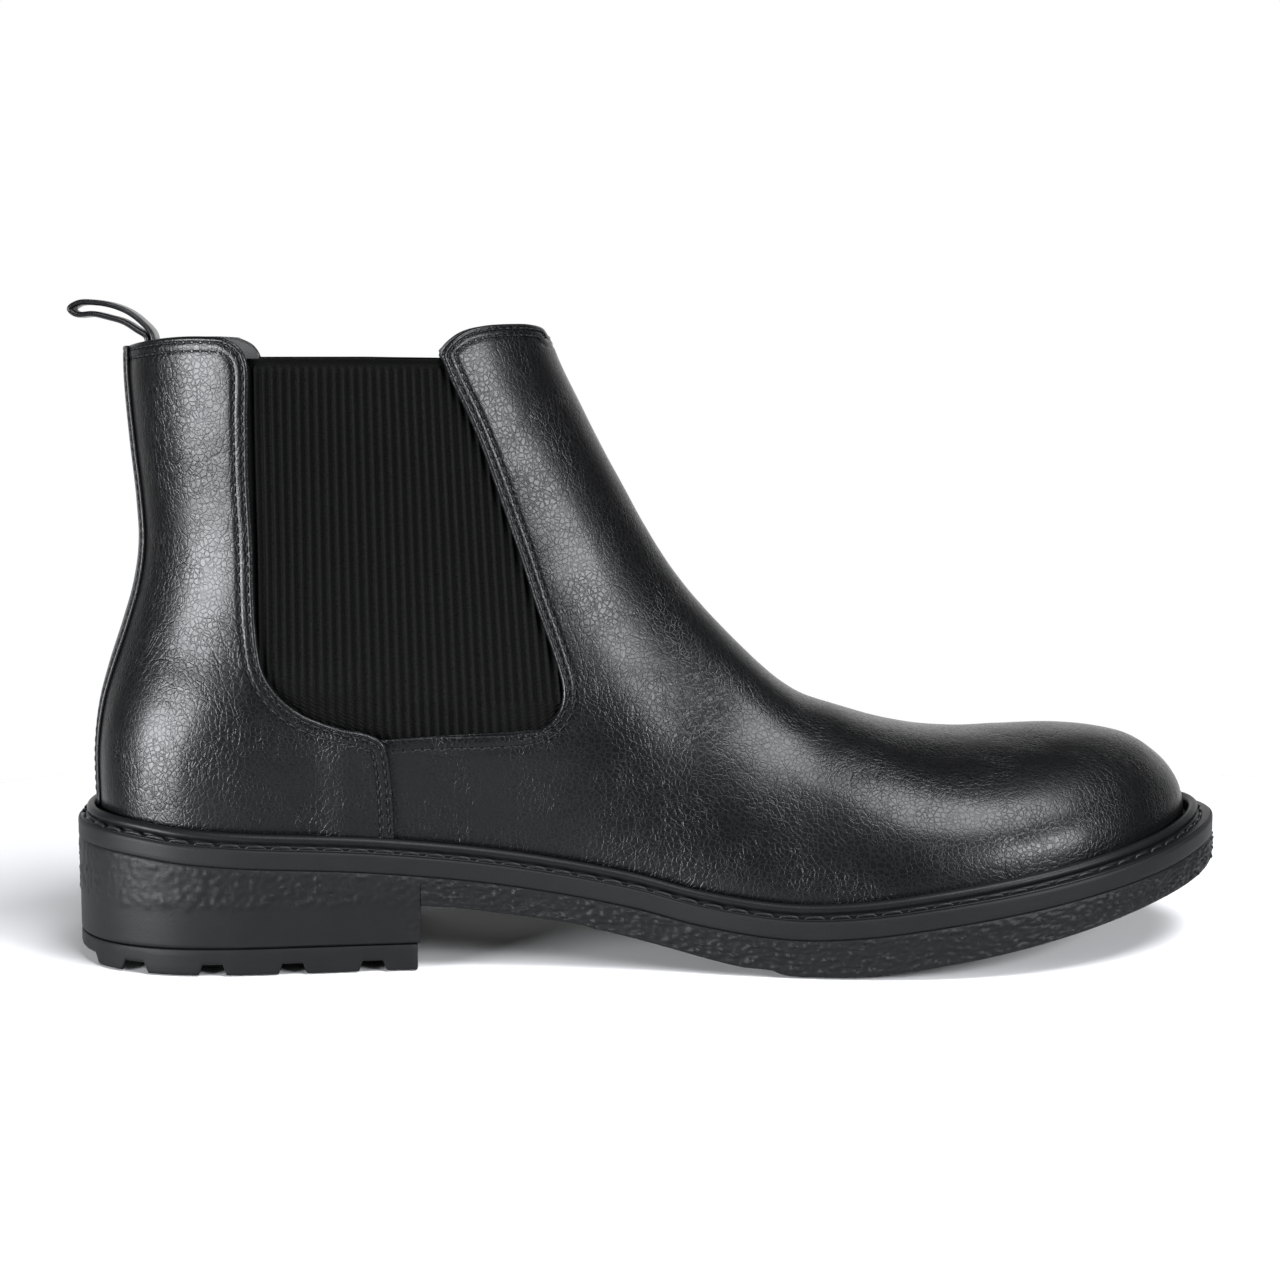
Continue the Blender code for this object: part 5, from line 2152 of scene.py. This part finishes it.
@dataclass(frozen=True)
class Studio:
    """A pale floor running up to a white cove, three soft boxes and the camera."""

    target: tuple = (146.57, 0.0, 79.25)
    distance: float = 680.0
    azimuth: float = -5.0
    elevation: float = 6.7
    lens: float = 72.36
    white: float = 1.0
    fill: float = 0.012
    floor_radius: float = 0.33
    floor_middle: float = 0.1
    floor_gap: float = 0.0003
    floor_sides: int = 96
    tint: tuple = (0.95, 0.965, 1.0)
    sensor: float = 36.0
    lamps: tuple = (
        ("overhead_box", (190, -20, 60), (0.28, -0.36, 0.89), 1.7, (1.05, 0.80), 62.0),
        ("heel_box", (35, -28, 85), (-0.80, -0.60, 0.03), 0.9, (0.54, 0.38), 33.0),
        ("tab_box", (112, -22, 100), (0.70, -0.69, 0.26), 0.9, (0.40, 0.22), 12.0),
    )

    def camera(self) -> None:
        """The camera, at its distance from the target along its own azimuth and elevation."""
        a, e = math.radians(self.azimuth), math.radians(self.elevation)
        back = np.array([math.sin(a) * math.cos(e), -math.cos(a) * math.cos(e), math.sin(e)])
        target = np.array(self.target) * (LAST.length, 1, LAST.height)
        data = bpy.data.cameras.new("camera")
        data.lens, data.sensor_width, data.clip_start = self.lens, self.sensor, 0.01
        cam = bpy.data.objects.new("camera", data)
        cam.location = LAST.to_frame(target + back * self.distance)
        cam.rotation_euler = aim(-back)
        bpy.context.scene.collection.objects.link(cam)
        bpy.context.scene.camera = cam

    def soft_box(self, name: str, at: tuple, direction: tuple, away: float, size: tuple,
                 watts: float) -> None:
        """An area light aimed at a place on the boot.

        Args:
            name: The light's name.
            at: The place it is aimed at.
            direction: Way from that place to the light.
            away: Distance in metres.
            size: Width and height in metres.
            watts: Power.
        """
        way = np.array(direction, float)
        way /= np.linalg.norm(way)
        data = bpy.data.lights.new(name, "AREA")
        data.shape, data.size, data.size_y, data.energy = "RECTANGLE", size[0], size[1], watts
        data.color = self.tint
        lamp = bpy.data.objects.new(name, data)
        lamp.location = np.array(LAST.to_frame(at)) + way * away
        lamp.rotation_euler = aim(-way)
        bpy.context.scene.collection.objects.link(lamp)

    def floor(self) -> None:
        """The floor: a disc, as bright at its rim as the white behind it."""
        a = np.linspace(0, 2 * math.pi, self.floor_sides + 1)[:-1]
        x, y = self.floor_radius * np.cos(a) + self.floor_middle, self.floor_radius * np.sin(a)
        rim = np.stack([x, y, a * 0 - self.floor_gap], -1)
        mesh = bpy.data.meshes.new("studio_floor")
        mesh.from_pydata(rim.tolist(), [], [tuple(range(self.floor_sides))])
        g = Graph("studio_floor_white")
        cloud = g.noise(g.place(), 300.0, 1)
        mesh.materials.append(g.dress(g.blend(cloud, (0.60, 0.60, 0.60, 1), (0.62, 0.62, 0.62, 1)), 0.9,
                                      Specular_IOR_Level=0.1))
        floor = bpy.data.objects.new("studio_floor", mesh)
        bpy.context.scene.collection.objects.link(floor)

    def cove(self) -> None:
        """The surroundings: white to the eye, and for light a band low down behind and dim elsewhere."""
        world = bpy.context.scene.world or bpy.data.worlds.new("cove")
        bpy.context.scene.world = world
        world.use_nodes = True
        tree = world.node_tree
        tree.nodes.clear()
        g = Graph.__new__(Graph)
        g.tree = tree
        way = g.node("ShaderNodeTexCoord", out="Generated")
        behind = g.ramp(g.axis(way, 1), 0.35, 0.92)
        low = g.ramp(g.axis(way, 2).maths("ABSOLUTE"), 0.32, 0.56, 1, 0)
        light = behind * low * 1.3 + self.fill
        seen = g.node("ShaderNodeLightPath", out="Is Camera Ray")
        level = seen * (self.white - light) + light
        shade = g.node("ShaderNodeBackground", None, {"Color": (1, 1, 1, 1), "Strength": level})
        end = tree.nodes.new("ShaderNodeOutputWorld")
        tree.links.new(shade.socket, end.inputs["Surface"])

    def build(self) -> None:
        """Everything round the boot."""
        self.floor()
        self.cove()
        for lamp in self.lamps:
            self.soft_box(*lamp)
        self.camera()
        bpy.context.scene.view_settings.view_transform = "Standard"


def aim(way: Array) -> tuple:
    """The turn that points -Z along a direction with Y up."""
    return tuple(Vector([float(w) for w in way]).to_track_quat("-Z", "Y").to_euler())


def main() -> None:
    """Builds the boot's pieces in order, then the studio."""
    logging.basicConfig(level=logging.INFO, format="%(message)s", stream=sys.stdout)
    for old in [o for o in bpy.data.objects if o.name in ("Cube", "Light", "Camera")]:
        bpy.data.objects.remove(old)
    for part in (Front(), Quarters(), Gores(), PullLoop(), Welt(), Sole(), Studio()):
        LOG.info("building %s", type(part).__name__)
        part.build()


if __name__ == "__main__":
    main()
